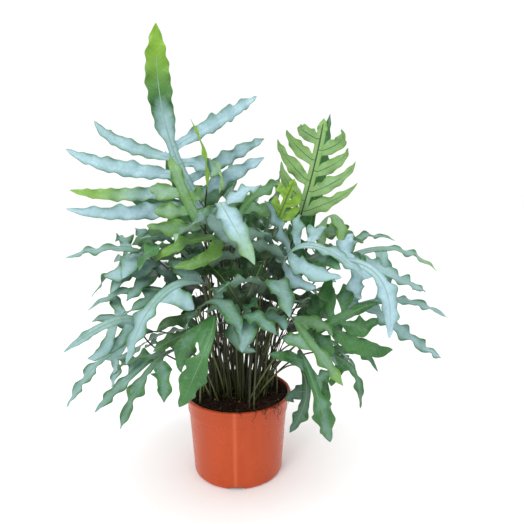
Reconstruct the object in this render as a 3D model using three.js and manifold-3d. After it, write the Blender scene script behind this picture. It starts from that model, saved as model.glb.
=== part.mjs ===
// Potted blue star fern: a dense clump of lobed, wavy fronds standing in peat in a
// thin moulded nursery pot, 14 cm across its lip.
// Millimetres, +Z up. The origin is the middle of the pot's base, and -Y is the front.
// Every frond is one grown piece: a stem that stands in a plain hole in the peat, and a
// blade cut into lobes on both sides of its midrib. It is one closed body, whose section
// is a flat rhombus: a left edge, a top rib line, a right edge and a bottom rib line.
import * as THREE from "three";
import { mergeVertices } from "three/addons/utils/BufferGeometryUtils.js";
import Module from "manifold-3d";

const wasm = await Module();
wasm.setup();

// Pot
const LIP_RADIUS = 70;
const POT_HEIGHT = 109.5;
const LIP_UNDERSIDE = 105;
const COLLAR_RADIUS = 66.3;
const COLLAR_BOTTOM = 86.5;
const WALL_TOP_RADIUS = 64.3;
const HEEL_RADIUS = 58.6;
const HEEL_HEIGHT = 3;
const FOOT_RADIUS = 56;
const POT_WALL = 1.5;
const POT_FLOOR = 4.2;
const RECESS = { inner: 31, outer: 47, depth: 2.5, chamfer: 1.5 };
const POT_SIDES = 30;
const DRAIN_HOLES = 4;
const DRAIN_HOLE_RADIUS = 4.5;
const NOTCH = { bottomWidth: 24, topWidth: 18, height: 4.5, depth: 14 };

// Peat
const PEAT_GAP = 0.35;
const PEAT_EDGE_HEIGHT = 103.5;
const PEAT_CROWN_HEIGHT = 112.5;
const PEAT_RELIEF = 0.66;
const PEAT_RINGS = [0.92, 0.72, 0.46, 0.2];

// Fronds
const STEM_RADIUS = 1.4;
const STEM_SUNK = 18;
const STEM_STRETCH = 34;
const STEM_LEAN = 0.5;
const STEM_RISE = 0.4;
const STEM_ARRIVAL = 0.3;
const HOLE_GAP = 0.5;
const HOLE_DEPTH = 20;
const HOLE_RISE = 14;
const ROOTS = { outer: 42, inner: 16, lowCrown: 150, highCrown: 350, scatter: 5, turn: 0.5 };
const WING = 5.5;
const WING_NEEDS_LOBES = 8;
const BARE_START = 0.04;
const MIDRIB = 1.1;
const RIB = 0.8;
const WAVE_STEP = 13;
const WAVE_HEIGHT = 4;
const WAVE_NEEDS_HALF_WIDTH = 9;
const WAVE_NARROWS = 0.12;
const FOLD = 0.14;
const LOBE_OPENS_OVER = 0.35;
const LOBE_ARCH = 0.1;
const LOBE_SWEEP_BACK = 0.05;
const LOBE_LEAST_OUTWARD = 0.6;
const LOBE_ROLL = 0.9;
const LOBE_SMALLEST = 0.9;
const LOBE_SPREAD = 0.2;
const CURVE_SAMPLES = 48;

// Bending clear of the neighbours
const CLEARANCE = 0.45;
const OWN_CLEARANCE = 0.2;
const TOUCH = 1e-3;
const GOLDEN_TURN = 2.4;
const RISE_TURN = 1.7;
const RISE_SHARE = 0.6;
const FRONT_STRIDE = 2.5;
const LAST_TRY = 220;
const TRIES_FOR_ALL_LOBES = 14;
const TRIES_PER_LOBE_LEFT_OUT = 40;
const ASIDE = { root: 0.5, crown: 0.6, middle: 0.8, tip: 1 };
const UP = new THREE.Vector3(0, 0, 1);

// The fronds that the front view shows, from the front to the back of the clump. The
// line holds the crown where the blade starts, the middle of the midrib and its tip. face
// is the way that the upper side looks halfway up the blade. lobes are the tips of the side
// lobes, from the crown upwards, and wide is half the width of a side lobe.
const FRONT_FRONDS = [
  { name: "frond_low_left", line: [[-20, -95, 240], [-25, -130, 215], [-55, -135, 150]],
    face: [-0.2, -0.7, 0.7], lobes: [[-55, -115, 180]], wide: 9, tipWide: 15 },
  { name: "frond_low_right", line: [[75, -85, 195], [90, -105, 160], [110, -100, 90]],
    face: [0.3, -0.85, 0.45], lobes: [[40, -100, 195], [110, -100, 175]], wide: 7, tipWide: 13 },
  { name: "frond_front", line: [[-5, -55, 335], [-10, -105, 360], [25, -150, 305]],
    face: [0, -0.5, 0.85], lobes: [[-60, -105, 320], [30, -45, 375]], wide: 11, tipWide: 12.5 },
  { name: "frond_left_blue", line: [[-30, -85, 270], [-75, -110, 265], [-110, -130, 195]],
    face: [-0.3, -0.75, 0.6], lobes: [[-70, -75, 295], [-40, -115, 250]], wide: 11, tipWide: 10.5 },
  { name: "frond_blue_drop", line: [[110, -50, 290], [160, -85, 280], [170, -105, 215]],
    face: [0.1, -0.85, 0.5], lobes: [[140, -30, 320], [145, -70, 250]], wide: 9.5, tipWide: 11 },
  { name: "frond_blue_right", line: [[55, -60, 285], [85, -90, 315], [145, -100, 280]],
    face: [0, -0.5, 0.85],
    lobes: [[20, -50, 330], [90, -100, 270], [35, -35, 360], [115, -115, 285], [75, -45, 345],
      [105, -50, 330]],
    wide: 9.5, tipWide: 9 },
  { name: "frond_tall", line: [[-40, 0, 350], [-80, -15, 440], [-85, -35, 555]],
    face: [0.15, -0.93, 0.33],
    lobes: [[-200, -30, 350], [35, -10, 410], [-205, -20, 370], [35, 40, 435], [-205, -5, 420],
      [-15, -70, 370], [-175, 15, 455], [25, 60, 490]],
    wide: 11, tipWide: 15, zone: 0.4 },
  { name: "frond_young_right", line: [[80, -5, 340], [95, -10, 400], [105, -15, 455]],
    face: [0.1, 0.93, 0.35],
    lobes: [[145, -25, 380], [55, -25, 405], [140, -35, 405], [50, -35, 430], [130, -40, 420],
      [60, -40, 440], [120, -50, 440], [75, -45, 445]],
    wide: 8.5, tipWide: 6, zone: 0.85 },
  { name: "frond_small_young", line: [[50, -30, 335], [60, -30, 360], [70, -35, 385]],
    face: [0, -0.95, 0.3],
    lobes: [[75, -25, 355], [50, -20, 365], [75, -20, 370], [55, -15, 380]],
    wide: 5.5, tipWide: 5, zone: 0.7 },
  { name: "frond_young_left", line: [[-35, -60, 330], [-50, -65, 360], [-70, -60, 410]],
    face: [0.1, -0.95, 0.3],
    lobes: [[-95, -75, 335], [-20, -55, 345], [-90, -60, 350], [-35, -45, 370],
      [-95, -50, 375]],
    wide: 9.5, tipWide: 7.5, zone: 0.6 },
  { name: "frond_right_mid", line: [[90, -70, 205], [125, -85, 230], [160, -90, 245]],
    face: [-0.1, -0.85, 0.5],
    lobes: [[120, -80, 195], [95, -45, 250], [180, -85, 195], [115, -35, 270], [160, -70, 220],
      [140, -45, 260]],
    wide: 11, tipWide: 6, zone: 0.6 },
  { name: "frond_mid_yellow", line: [[-10, -55, 320], [-45, -90, 320], [-80, -100, 300]],
    face: [0, -0.6, 0.8], lobes: [[-65, -85, 285], [-50, -50, 350]], wide: 8.5, tipWide: 8 },
  { name: "frond_left_star", line: [[-110, -60, 210], [-135, -70, 225], [-195, -80, 190]],
    face: [0, -0.9, 0.4],
    lobes: [[-100, -45, 245], [-155, -70, 185], [-150, -45, 250], [-170, -75, 180]],
    wide: 7, tipWide: 5.5 },
  { name: "frond_right_front", line: [[65, -90, 235], [90, -110, 205], [120, -115, 165]],
    face: [0.4, -0.7, 0.6], lobes: [[110, -95, 215], [55, -110, 220]], wide: 8.5, tipWide: 9 },
  { name: "frond_left_top", line: [[-90, -25, 285], [-135, -35, 305], [-200, -40, 295]],
    face: [0, -0.4, 0.9],
    lobes: [[-150, -60, 275], [-125, -10, 325], [-125, -75, 275], [-145, -10, 315]],
    wide: 11, tipWide: 8 },
  { name: "frond_small_left", line: [[-35, -75, 245], [-10, -110, 255], [10, -120, 225]],
    face: [0, -0.6, 0.8], lobes: [[-50, -105, 225], [-10, -80, 270]], wide: 8.5, tipWide: 10 },
  { name: "frond_small_mid", line: [[0, -75, 225], [25, -110, 240], [50, -125, 225]],
    face: [0, -0.6, 0.8], lobes: [[25, -105, 200], [30, -85, 255]], wide: 8.5, tipWide: 9 },
  { name: "frond_left_low", line: [[-105, -20, 195], [-160, -30, 170], [-215, -35, 100]],
    face: [-0.2, -0.6, 0.75], lobes: [[-185, -10, 205], [-155, -40, 130]], wide: 7, tipWide: 9 },
  { name: "frond_left_under", line: [[-85, -45, 185], [-120, -60, 160], [-170, -60, 110]],
    face: [-0.3, -0.7, 0.6], lobes: [[-95, -60, 160], [-145, -45, 170]], wide: 7, tipWide: 8 },
  { name: "frond_left_green", line: [[-35, -70, 215], [-60, -80, 210], [-90, -90, 195]],
    face: [-0.1, -0.7, 0.7], lobes: [[-90, -70, 210], [-55, -90, 180]], wide: 8.5, tipWide: 9 },
  { name: "frond_left_arc", line: [[-55, -50, 240], [-110, -60, 260], [-170, -65, 235]],
    face: [0, -0.5, 0.87], lobes: [[-100, -40, 280], [-125, -85, 235]], wide: 7, tipWide: 6 },
  { name: "frond_right_under", line: [[105, -35, 175], [140, -50, 160], [150, -60, 115]],
    face: [0.4, -0.6, 0.7], lobes: [[175, -40, 150], [115, -60, 140]], wide: 7, tipWide: 7 },
  { name: "frond_right_back_low", line: [[80, -45, 155], [85, -60, 125], [65, -70, 85]],
    face: [0.3, -0.85, 0.4], lobes: [[110, -60, 115], [60, -70, 125]], wide: 8.5, tipWide: 9 },
  { name: "frond_right_top", line: [[95, 0, 310], [120, -10, 340], [130, -35, 305]],
    face: [0.3, -0.6, 0.75], lobes: [[160, 0, 305], [105, -35, 300]], wide: 8.5, tipWide: 8 },
  { name: "frond_mid_heart", line: [[40, -25, 285], [30, -45, 260], [20, -50, 235]],
    face: [0, -0.8, 0.6], lobes: [[10, -35, 260], [55, -50, 255]], wide: 9.5, tipWide: 11 },
  { name: "frond_mid_green", line: [[-35, -35, 285], [-15, -55, 270], [5, -65, 240]],
    face: [0, -0.8, 0.6], lobes: [[-50, -50, 280], [10, -50, 275]], wide: 11, tipWide: 12 },
  { name: "frond_right_far", line: [[130, 25, 275], [195, 30, 290], [255, 30, 260]],
    face: [0, -0.4, 0.9], lobes: [[215, 60, 300], [245, 10, 240], [175, 0, 235]],
    wide: 9.5, tipWide: 8 },
  { name: "frond_right_low", line: [[140, 0, 215], [210, 5, 230], [280, 10, 205]],
    face: [0, -0.5, 0.87], lobes: [[165, 30, 245], [260, -20, 160], [210, 30, 250]],
    wide: 9.5, tipWide: 7.5 },
  { name: "frond_erect_right", line: [[95, 35, 305], [105, 30, 385], [120, 30, 465]],
    face: [0.1, -0.9, 0.35], lobes: [[150, 50, 320], [65, 45, 340]], wide: 11, tipWide: 12,
    zone: 0.2 },
  { name: "frond_centre_up", line: [[0, -10, 325], [20, 0, 360], [60, 5, 380]],
    face: [-0.3, -0.6, 0.75], lobes: [[-10, 0, 395], [75, -20, 355]], wide: 11, tipWide: 12 },
  { name: "frond_curl", line: [[-30, -30, 370], [-30, -30, 410], [-45, -30, 450]],
    face: [-0.8, -0.5, 0.2], lobes: [], wide: 3.5, tipWide: 4 },
];

// The back and the sides, which the front view hides, by a rule: the fronds follow each
// other round the clump, and take the levels in turn. out is how far from the middle the
// crown, the middle of the midrib and the tip lie, and height is their height.
const LEVELS = [
  { out: [75, 125, 175], height: [255, 285, 245], lobes: 5, lobeLength: 80, wide: 11 },
  { out: [70, 115, 165], height: [180, 175, 120], lobes: 4, lobeLength: 70, wide: 10 },
  { out: [35, 60, 80], height: [300, 355, 405], lobes: 5, lobeLength: 80, wide: 11 },
];
const BACK = { count: 11, from: -10, to: 208, spread: 5, firstSeed: 500 };
const BACK_ZONE = 0.45;

// Shorter fronds fill the heart of the clump all the way round
const HEART = { count: 15, from: 8, to: 340, spread: 6, firstSeed: 720 };
const HEART_LEVELS = [
  { out: [22, 55, 88], height: [285, 320, 300], lobes: 4, lobeLength: 60, wide: 11 },
  { out: [38, 70, 104], height: [225, 250, 225], lobes: 4, lobeLength: 58, wide: 11 },
  { out: [12, 32, 58], height: [305, 338, 348], lobes: 4, lobeLength: 62, wide: 11 },
];

// How far the rule strays from even places, and how its fronds and lobes are shaped. Lobes
// leave the midrib at an angle that falls from lowSplay by splayFall towards the tip.
const STRAY = { around: 14, twist: 0.25, height: 24 };
const RULED = {
  face: { out: 0.5, up: 0.87 },
  tipShare: 1.2,
  lowSplay: 84,
  splayFall: 34,
  shortest: 0.8,
  longerInMiddle: 0.3,
  droop: 0.18,
};

// Small helpers for points and directions
const vec = ([x, y, z]) => new THREE.Vector3(x, y, z);
const mix = (a, b, share) => a.clone().lerp(b, share);
const moved = (point, direction, distance) => point.clone().addScaledVector(direction, distance);
const clamp = (value, low, high) => Math.min(high, Math.max(low, value));
const radians = (degrees) => (degrees * Math.PI) / 180;

// An even spread of numbers from 0 to 1, the same in every run
const SEED_STEP = 7919;
const SEED_START = 17;

function seededRandom(seed) {
  let state = seed >>> 0;
  return () => {
    state = (Math.imul(state, 1664525) + 1013904223) >>> 0;
    return state / 4294967296;
  };
}

// A closed body from a geometry: shared vertices are merged, and collapsed faces dropped
function solidOf(geometry) {
  geometry.deleteAttribute("normal");
  geometry.deleteAttribute("uv");
  const merged = mergeVertices(geometry);
  const faces = [];
  const index = merged.index.array;
  for (let i = 0; i < index.length; i += 3) {
    const [a, b, c] = [index[i], index[i + 1], index[i + 2]];
    if (a !== b && b !== c && c !== a) {
      faces.push(a, b, c);
    }
  }
  return new wasm.Manifold(new wasm.Mesh({
    numProp: 3,
    vertProperties: new Float32Array(merged.attributes.position.array),
    triVerts: new Uint32Array(faces),
  }));
}

function geometryOf(solid) {
  const { vertProperties, triVerts } = solid.getMesh();
  const geometry = new THREE.BufferGeometry();
  geometry.setAttribute("position", new THREE.BufferAttribute(vertProperties, 3));
  geometry.setIndex(new THREE.BufferAttribute(triVerts, 1));
  geometry.computeVertexNormals();
  return geometry;
}

function turned(profile) {
  const points = profile.map(([radius, height]) => new THREE.Vector2(radius, height));
  return new THREE.LatheGeometry(points, POT_SIDES).rotateX(Math.PI / 2);
}

// Pot: one moulded shell with a collar, a rolled lip, a ring recess under the floor, four
// drain holes in that recess and four notches in the foot
function makePot() {
  const innerCollar = COLLAR_RADIUS - POT_WALL;
  const innerTop = WALL_TOP_RADIUS - POT_WALL;
  const innerHeel = HEEL_RADIUS - POT_WALL;
  const shell = solidOf(turned([
    [0, 0],
    [RECESS.inner - RECESS.chamfer, 0],
    [RECESS.inner, RECESS.depth],
    [RECESS.outer, RECESS.depth],
    [RECESS.outer + RECESS.chamfer, 0],
    [FOOT_RADIUS, 0],
    [HEEL_RADIUS, HEEL_HEIGHT],
    [WALL_TOP_RADIUS, COLLAR_BOTTOM],
    [COLLAR_RADIUS - 0.8, COLLAR_BOTTOM + 0.6],
    [COLLAR_RADIUS, LIP_UNDERSIDE - 2],
    [LIP_RADIUS - 0.6, LIP_UNDERSIDE],
    [LIP_RADIUS, POT_HEIGHT - 1.2],
    [LIP_RADIUS - 1.4, POT_HEIGHT],
    [innerCollar + 1.2, POT_HEIGHT - 0.4],
    [innerCollar, LIP_UNDERSIDE - 2.5],
    [innerTop, COLLAR_BOTTOM],
    [innerHeel, POT_FLOOR + 1.6],
    [innerHeel - 1.6, POT_FLOOR],
    [0, POT_FLOOR],
  ]));
  const cuts = [];
  for (let i = 0; i < DRAIN_HOLES; i++) {
    const hole = new THREE.CylinderGeometry(DRAIN_HOLE_RADIUS, DRAIN_HOLE_RADIUS, 20, 8);
    hole.rotateX(Math.PI / 2);
    hole.translate((RECESS.inner + RECESS.outer) / 2, 0, 0);
    hole.rotateZ(radians(45 + (360 / DRAIN_HOLES) * i));
    cuts.push(solidOf(hole));
    cuts.push(solidOf(notchBlock(i)));
  }
  return shell.subtract(wasm.Manifold.union(cuts));
}

function notchBlock(index) {
  const outline = new THREE.Shape();
  outline.moveTo(-NOTCH.bottomWidth / 2, -1);
  outline.lineTo(NOTCH.bottomWidth / 2, -1);
  outline.lineTo(NOTCH.topWidth / 2, NOTCH.height);
  outline.lineTo(-NOTCH.topWidth / 2, NOTCH.height);
  outline.closePath();
  const block = new THREE.ExtrudeGeometry(outline, { depth: NOTCH.depth, bevelEnabled: false });
  block.rotateX(Math.PI / 2);
  block.translate(0, -FOOT_RADIUS + NOTCH.depth / 2 + 3, 0);
  block.rotateZ(radians(90 * index));
  return block;
}

// Height of the peat: a low mound with a little relief, flat enough at its edge to sit
// under the lip
function peatRadiusAt(height) {
  const share = (height - POT_FLOOR) / (COLLAR_BOTTOM - POT_FLOOR);
  const heel = HEEL_RADIUS - POT_WALL;
  return heel + (WALL_TOP_RADIUS - POT_WALL - heel) * share - PEAT_GAP;
}

function peatHeight(x, y) {
  const share = Math.min(1, Math.hypot(x, y) / (COLLAR_RADIUS - POT_WALL));
  const mound = (PEAT_CROWN_HEIGHT - PEAT_EDGE_HEIGHT) * (1 - share ** 2.2);
  const relief = Math.sin(x * 0.21 + y * 0.13) + 0.7 * Math.sin(y * 0.33 - x * 0.17 + 1);
  return PEAT_EDGE_HEIGHT + mound + PEAT_RELIEF * relief * (1 - share ** 6);
}

function makePeatBody() {
  const edge = COLLAR_RADIUS - POT_WALL - PEAT_GAP;
  const bottom = POT_FLOOR + PEAT_GAP;
  const heel = HEEL_RADIUS - POT_WALL - 1.6 - PEAT_GAP;
  const geometry = turned([
    [0, bottom],
    [heel - 0.4, bottom],
    [peatRadiusAt(bottom + 2) - 0.2, bottom + 2],
    [peatRadiusAt(COLLAR_BOTTOM), COLLAR_BOTTOM + PEAT_GAP],
    [edge - 0.5, PEAT_EDGE_HEIGHT - 2],
    [edge - 1, PEAT_EDGE_HEIGHT],
    ...PEAT_RINGS.map((share) => [edge * share, PEAT_EDGE_HEIGHT + 1]),
    [0, PEAT_EDGE_HEIGHT + 1],
  ]);
  const position = geometry.attributes.position;
  for (let i = 0; i < position.count; i++) {
    if (position.getZ(i) > PEAT_EDGE_HEIGHT + 0.5) {
      position.setZ(i, peatHeight(position.getX(i), position.getY(i)));
    }
  }
  return solidOf(geometry);
}

// A point of a Bezier curve with any number of control points, and its direction there
function bezier(control, share) {
  let points = control;
  while (points.length > 2) {
    points = points.slice(1).map((point, i) => mix(points[i], point, share));
  }
  const [before, after] = points;
  return { at: mix(before, after, share), ahead: after.clone().sub(before).normalize() };
}

// A curve with its upper side, which looks the way of face at the share facedAt of it:
// samples hold the place, the direction, the way the upper side looks and the way to the
// right, and the length of the curve up to there
function ribbon(control, face, facedAt) {
  const samples = [];
  for (let i = 0; i <= CURVE_SAMPLES; i++) {
    samples.push(bezier(control, i / CURVE_SAMPLES));
  }
  const settle = (sample, up) => {
    sample.up = moved(up, sample.ahead, -up.dot(sample.ahead)).normalize();
    sample.right = new THREE.Vector3().crossVectors(sample.ahead, sample.up);
  };
  const first = Math.round(facedAt * CURVE_SAMPLES);
  settle(samples[first], face);
  for (let i = first + 1; i <= CURVE_SAMPLES; i++) {
    settle(samples[i], samples[i - 1].up);
  }
  for (let i = first - 1; i >= 0; i--) {
    settle(samples[i], samples[i + 1].up);
  }
  samples[0].reach = 0;
  for (let i = 1; i < samples.length; i++) {
    samples[i].reach = samples[i - 1].reach + samples[i].at.distanceTo(samples[i - 1].at);
  }
  return { samples, length: samples[CURVE_SAMPLES].reach };
}

function frameAt({ samples, length }, share) {
  const reach = share * length;
  let i = 1;
  while (i < CURVE_SAMPLES && samples[i].reach < reach) {
    i += 1;
  }
  const [a, b] = [samples[i - 1], samples[i]];
  const part = (reach - a.reach) / (b.reach - a.reach);
  return {
    at: mix(a.at, b.at, part),
    ahead: mix(a.ahead, b.ahead, part).normalize(),
    up: mix(a.up, b.up, part).normalize(),
    right: mix(a.right, b.right, part).normalize(),
  };
}

// One rhombus section of a blade or stem. lift raises the left and the right edge.
function section(frame, half, rib, lift = [0, 0]) {
  return {
    left: moved(moved(frame.at, frame.right, -half), frame.up, lift[0]),
    top: moved(frame.at, frame.up, rib),
    right: moved(moved(frame.at, frame.right, half), frame.up, lift[1]),
    bottom: moved(frame.at, frame.up, -rib),
    frame,
    half,
    rib,
    lift,
  };
}

function rolled(frame, angle) {
  const up = moved(frame.up.clone().multiplyScalar(Math.cos(angle)), frame.right, Math.sin(angle));
  const right = new THREE.Vector3().crossVectors(frame.ahead, up);
  return { ...frame, up, right };
}

// How high the left and the right edge of a blade stand over its midrib: both are folded
// up a little, and ripple where the blade is wide
function edgeLift(width, crest, wave) {
  const swing = crest * WAVE_HEIGHT * Math.min(1, width / WAVE_NEEDS_HALF_WIDTH);
  return wave.map((sign) => sign * swing + FOLD * width);
}

// The sections of a lobe between its base and its tip: it widens from its base, tapers to
// its tip, and both of its edges ripple up and down
function lobeSections(curve, half, base, wave, roll = 0) {
  const steps = clamp(Math.round(curve.length / WAVE_STEP), 4, 10);
  const sections = [];
  for (let j = 1; j < steps; j++) {
    const share = j / steps;
    const opening = base + (1 - base) * Math.min(1, share / LOBE_OPENS_OVER);
    const width = half * opening * (1 - share ** 3.4) ** 0.75;
    const frame = rolled(frameAt(curve, share), roll * share);
    const crest = Math.cos(Math.PI * j);
    const lift = edgeLift(width, crest, wave);
    sections.push(section(frame, width * (1 + WAVE_NARROWS * crest), RIB, lift));
  }
  return sections;
}

// The random traits of a frond, drawn in one fixed order
function traitsOf(row, seed) {
  const random = seededRandom(seed * SEED_STEP + SEED_START);
  const sign = () => (random() < 0.5 ? -1 : 1);
  const tipWave = [sign(), sign()];
  const jitter = [random() - 0.5, random() - 0.5, random() - 0.5];
  const lobes = [];
  const count = Array.isArray(row.lobes) ? row.lobes.length : row.lobes;
  for (let i = 0; i < count; i++) {
    lobes.push({
      wave: [sign(), sign()],
      roll: (random() - 0.5) * LOBE_ROLL,
      size: LOBE_SMALLEST + LOBE_SPREAD * random(),
    });
  }
  return { tipWave, jitter, lobes };
}

// How far a frond is bent aside on its nth try, to stay clear of its neighbours
function bent(nth, stride) {
  const far = stride * Math.sqrt(nth);
  return new THREE.Vector3(
    far * Math.cos(GOLDEN_TURN * nth),
    far * Math.sin(GOLDEN_TURN * nth),
    RISE_SHARE * far * Math.cos(RISE_TURN * nth),
  );
}

// Where a stem leaves the peat: under its crown, and nearer the middle if it grows tall
function rootOf(crown, seed) {
  const around = Math.atan2(crown.y, crown.x) + ROOTS.turn * Math.sin(seed * 5.1);
  const level = clamp((crown.z - ROOTS.lowCrown) / (ROOTS.highCrown - ROOTS.lowCrown), 0, 1);
  const evenly = ROOTS.outer + (ROOTS.inner - ROOTS.outer) * level;
  const out = evenly + ROOTS.scatter * Math.sin(seed * 3.7);
  return new THREE.Vector3(out * Math.cos(around), out * Math.sin(around), 0);
}

// The stem and midrib of a frond on its nth try
function spineOf(row, seed, nth) {
  const aside = bent(nth, row.stride);
  const crown = moved(vec(row.line[0]), aside, ASIDE.crown);
  const middle = moved(vec(row.line[1]), aside, ASIDE.middle);
  const tip = moved(vec(row.line[2]), aside, ASIDE.tip);
  const root = rootOf(vec(row.line[0]), seed);
  root.addScaledVector(new THREE.Vector3(aside.x, aside.y, 0), ASIDE.root);
  root.z = peatHeight(root.x, root.y);
  const bend = middle.clone().multiplyScalar(2).sub(mix(crown, tip, 0.5));
  const rachis = ribbon([crown, bend, tip], vec(row.face), 0.5);
  const start = rachis.samples[0];
  const rise = crown.clone().sub(root);
  const flat = Math.hypot(rise.x, rise.y);
  const lean = Math.min(STEM_LEAN, (0.6 * flat) / rise.z) / Math.max(flat, 1);
  const growth = new THREE.Vector3(rise.x * lean, rise.y * lean, 1).normalize();
  const stem = ribbon([
    root,
    moved(root, growth, STEM_RISE * rise.length()),
    moved(crown, start.ahead, -STEM_ARRIVAL * rise.length()),
    crown,
  ], start.up, 1);
  return { root, growth, stem, rachis };
}

// Sections of the stem, then of the stretch of midrib that carries the side lobes, then
// of the end lobe. slots[i] is the lobe on the stretch between zone sections i and i + 1.
function coreOf(row, traits, spine) {
  const { root, growth, stem, rachis } = spine;
  const buried = { ...stem.samples[0], at: moved(root, growth, -STEM_SUNK), ahead: growth };
  const sections = [section(buried, STEM_RADIUS, STEM_RADIUS)];
  const stemSteps = clamp(Math.round(stem.length / STEM_STRETCH), 4, 9);
  for (let i = 0; i < stemSteps; i++) {
    sections.push(section(frameAt(stem, i / stemSteps), STEM_RADIUS, STEM_RADIUS));
  }
  const zoneStart = sections.length;
  const slots = slotsOf(row, rachis);
  const zoneShare = slots.length > 0 ? (row.zone ?? BACK_ZONE) : BARE_START;
  const intervals = Math.max(1, slots.length);
  for (let i = 0; i <= intervals; i++) {
    const half = i === 0 ? STEM_RADIUS : WING * Math.min(1, row.wide / WING_NEEDS_LOBES);
    const rib = i === 0 ? STEM_RADIUS : MIDRIB;
    sections.push(section(frameAt(rachis, (zoneShare * i) / intervals), half, rib));
  }
  const steps = clamp(Math.round((rachis.length * (1 - zoneShare)) / WAVE_STEP), 4, 12);
  for (let j = 1; j < steps; j++) {
    const share = j / steps;
    const width = row.tipWide * Math.min(1, 0.5 + 2 * share) * (1 - share ** 3) ** 0.9;
    const frame = frameAt(rachis, zoneShare + (1 - zoneShare) * share);
    const lift = edgeLift(width, Math.cos(Math.PI * j), traits.tipWave);
    sections.push(section(frame, width, RIB, lift));
  }
  return { sections, slots, zoneStart, zoneShare, tip: rachis.samples[CURVE_SAMPLES].at };
}

// The stretches of midrib that carry lobes, in order: one is left bare where two lobes
// that follow each other stand on the same side
function slotsOf(row, rachis) {
  const slots = [];
  const count = Array.isArray(row.lobes) ? row.lobes.length : row.lobes;
  let lastSide = 0;
  for (let i = 0; i < count; i++) {
    const side = sideOf(row, i, rachis);
    if (side === lastSide) {
      slots.push(null);
    }
    slots.push({ lobe: i, side });
    lastSide = side;
  }
  return slots;
}

function sideOf(row, lobe, rachis) {
  if (!Array.isArray(row.lobes)) {
    return (lobe + row.firstSide) % 2 === 0 ? 1 : -1;
  }
  const frame = frameAt(rachis, 0.2);
  return vec(row.lobes[lobe]).sub(frame.at).dot(frame.right) > 0 ? 1 : -1;
}

// Where a side lobe starts, the ways out of the midrib, up from the blade and ahead, and
// the foot of the lobe, whose left and right are seen from the lobe
function lobeSeat(core, slot) {
  const before = core.sections[core.zoneStart + slot];
  const after = core.sections[core.zoneStart + slot + 1];
  const { side } = core.slots[slot];
  const edge = side > 0 ? "right" : "left";
  const at = mix(before[edge], after[edge], 0.5);
  const { up } = after.frame;
  const top = moved(at, up, RIB);
  const bottom = moved(at, up, -RIB);
  return {
    slot,
    side,
    at,
    gap: before[edge].distanceTo(after[edge]),
    up,
    ahead: after.frame.ahead,
    out: after.frame.right.clone().multiplyScalar(side),
    top,
    bottom,
    foot: side > 0
      ? { left: after.right, top, right: before.right, bottom, frame: { up } }
      : { left: before.left, top, right: after.left, bottom, frame: { up } },
  };
}

// The tip of a lobe on a frond that follows the rule: lobes lean ahead more towards the
// top of the blade, are longest in its middle, and droop
function ruledTip(row, lobe, seat, size) {
  const share = lobe / Math.max(1, row.lobes - 1);
  const splay = radians(RULED.lowSplay - RULED.splayFall * share);
  const fullness = RULED.shortest + RULED.longerInMiddle * Math.sin(Math.PI * share);
  const length = row.lobeLength * size * fullness;
  const along = moved(seat.out.clone().multiplyScalar(Math.sin(splay)), seat.ahead, Math.cos(splay));
  return moved(moved(seat.at, along, length), UP, -RULED.droop * length);
}

// The curve of a side lobe whose tip is turned aside by lift and sweep and pulled in
function lobeCurve(seat, tip, [lift, sweep], pull) {
  const chord = tip.clone().sub(seat.at);
  const length = chord.length();
  const way = chord.addScaledVector(seat.up, lift * length).addScaledVector(seat.ahead, sweep * length);
  const end = moved(seat.at, way.normalize(), length * pull);
  const bend = mix(seat.at, end, 0.5);
  bend.addScaledVector(seat.up, LOBE_ARCH * length);
  bend.addScaledVector(UP, LOBE_ARCH * length);
  bend.addScaledVector(seat.ahead, -LOBE_SWEEP_BACK * length);
  const outward = bend.clone().sub(seat.at).dot(seat.out);
  bend.addScaledVector(seat.out, Math.max(0, LOBE_LEAST_OUTWARD * length - outward));
  return ribbon([seat.at, bend, end], seat.up, 0);
}

// A closed body of loops, each with the same number of points, closed by flat ends. The
// strips whose numbers are in mirrored are split along their other diagonal.
function loftOf(loops, mirrored = []) {
  const count = loops[0].length;
  const positions = loops.flat().flatMap((point) => [point.x, point.y, point.z]);
  const faces = [];
  for (let j = 0; j + 1 < loops.length; j++) {
    for (let i = 0; i < count; i++) {
      const next = (i + 1) % count;
      const [a, b] = [j * count + i, j * count + next];
      if (mirrored.includes(i)) {
        faces.push(a, b, a + count, b, b + count, a + count);
      } else {
        faces.push(a, b, b + count, a, b + count, a + count);
      }
    }
  }
  const last = (loops.length - 1) * count;
  for (let i = 1; i + 1 < count; i++) {
    faces.push(0, i + 1, i, last, last + i, last + i + 1);
  }
  return new wasm.Manifold(new wasm.Mesh({
    numProp: 3,
    vertProperties: new Float32Array(positions),
    triVerts: new Uint32Array(faces),
  }));
}

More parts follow.
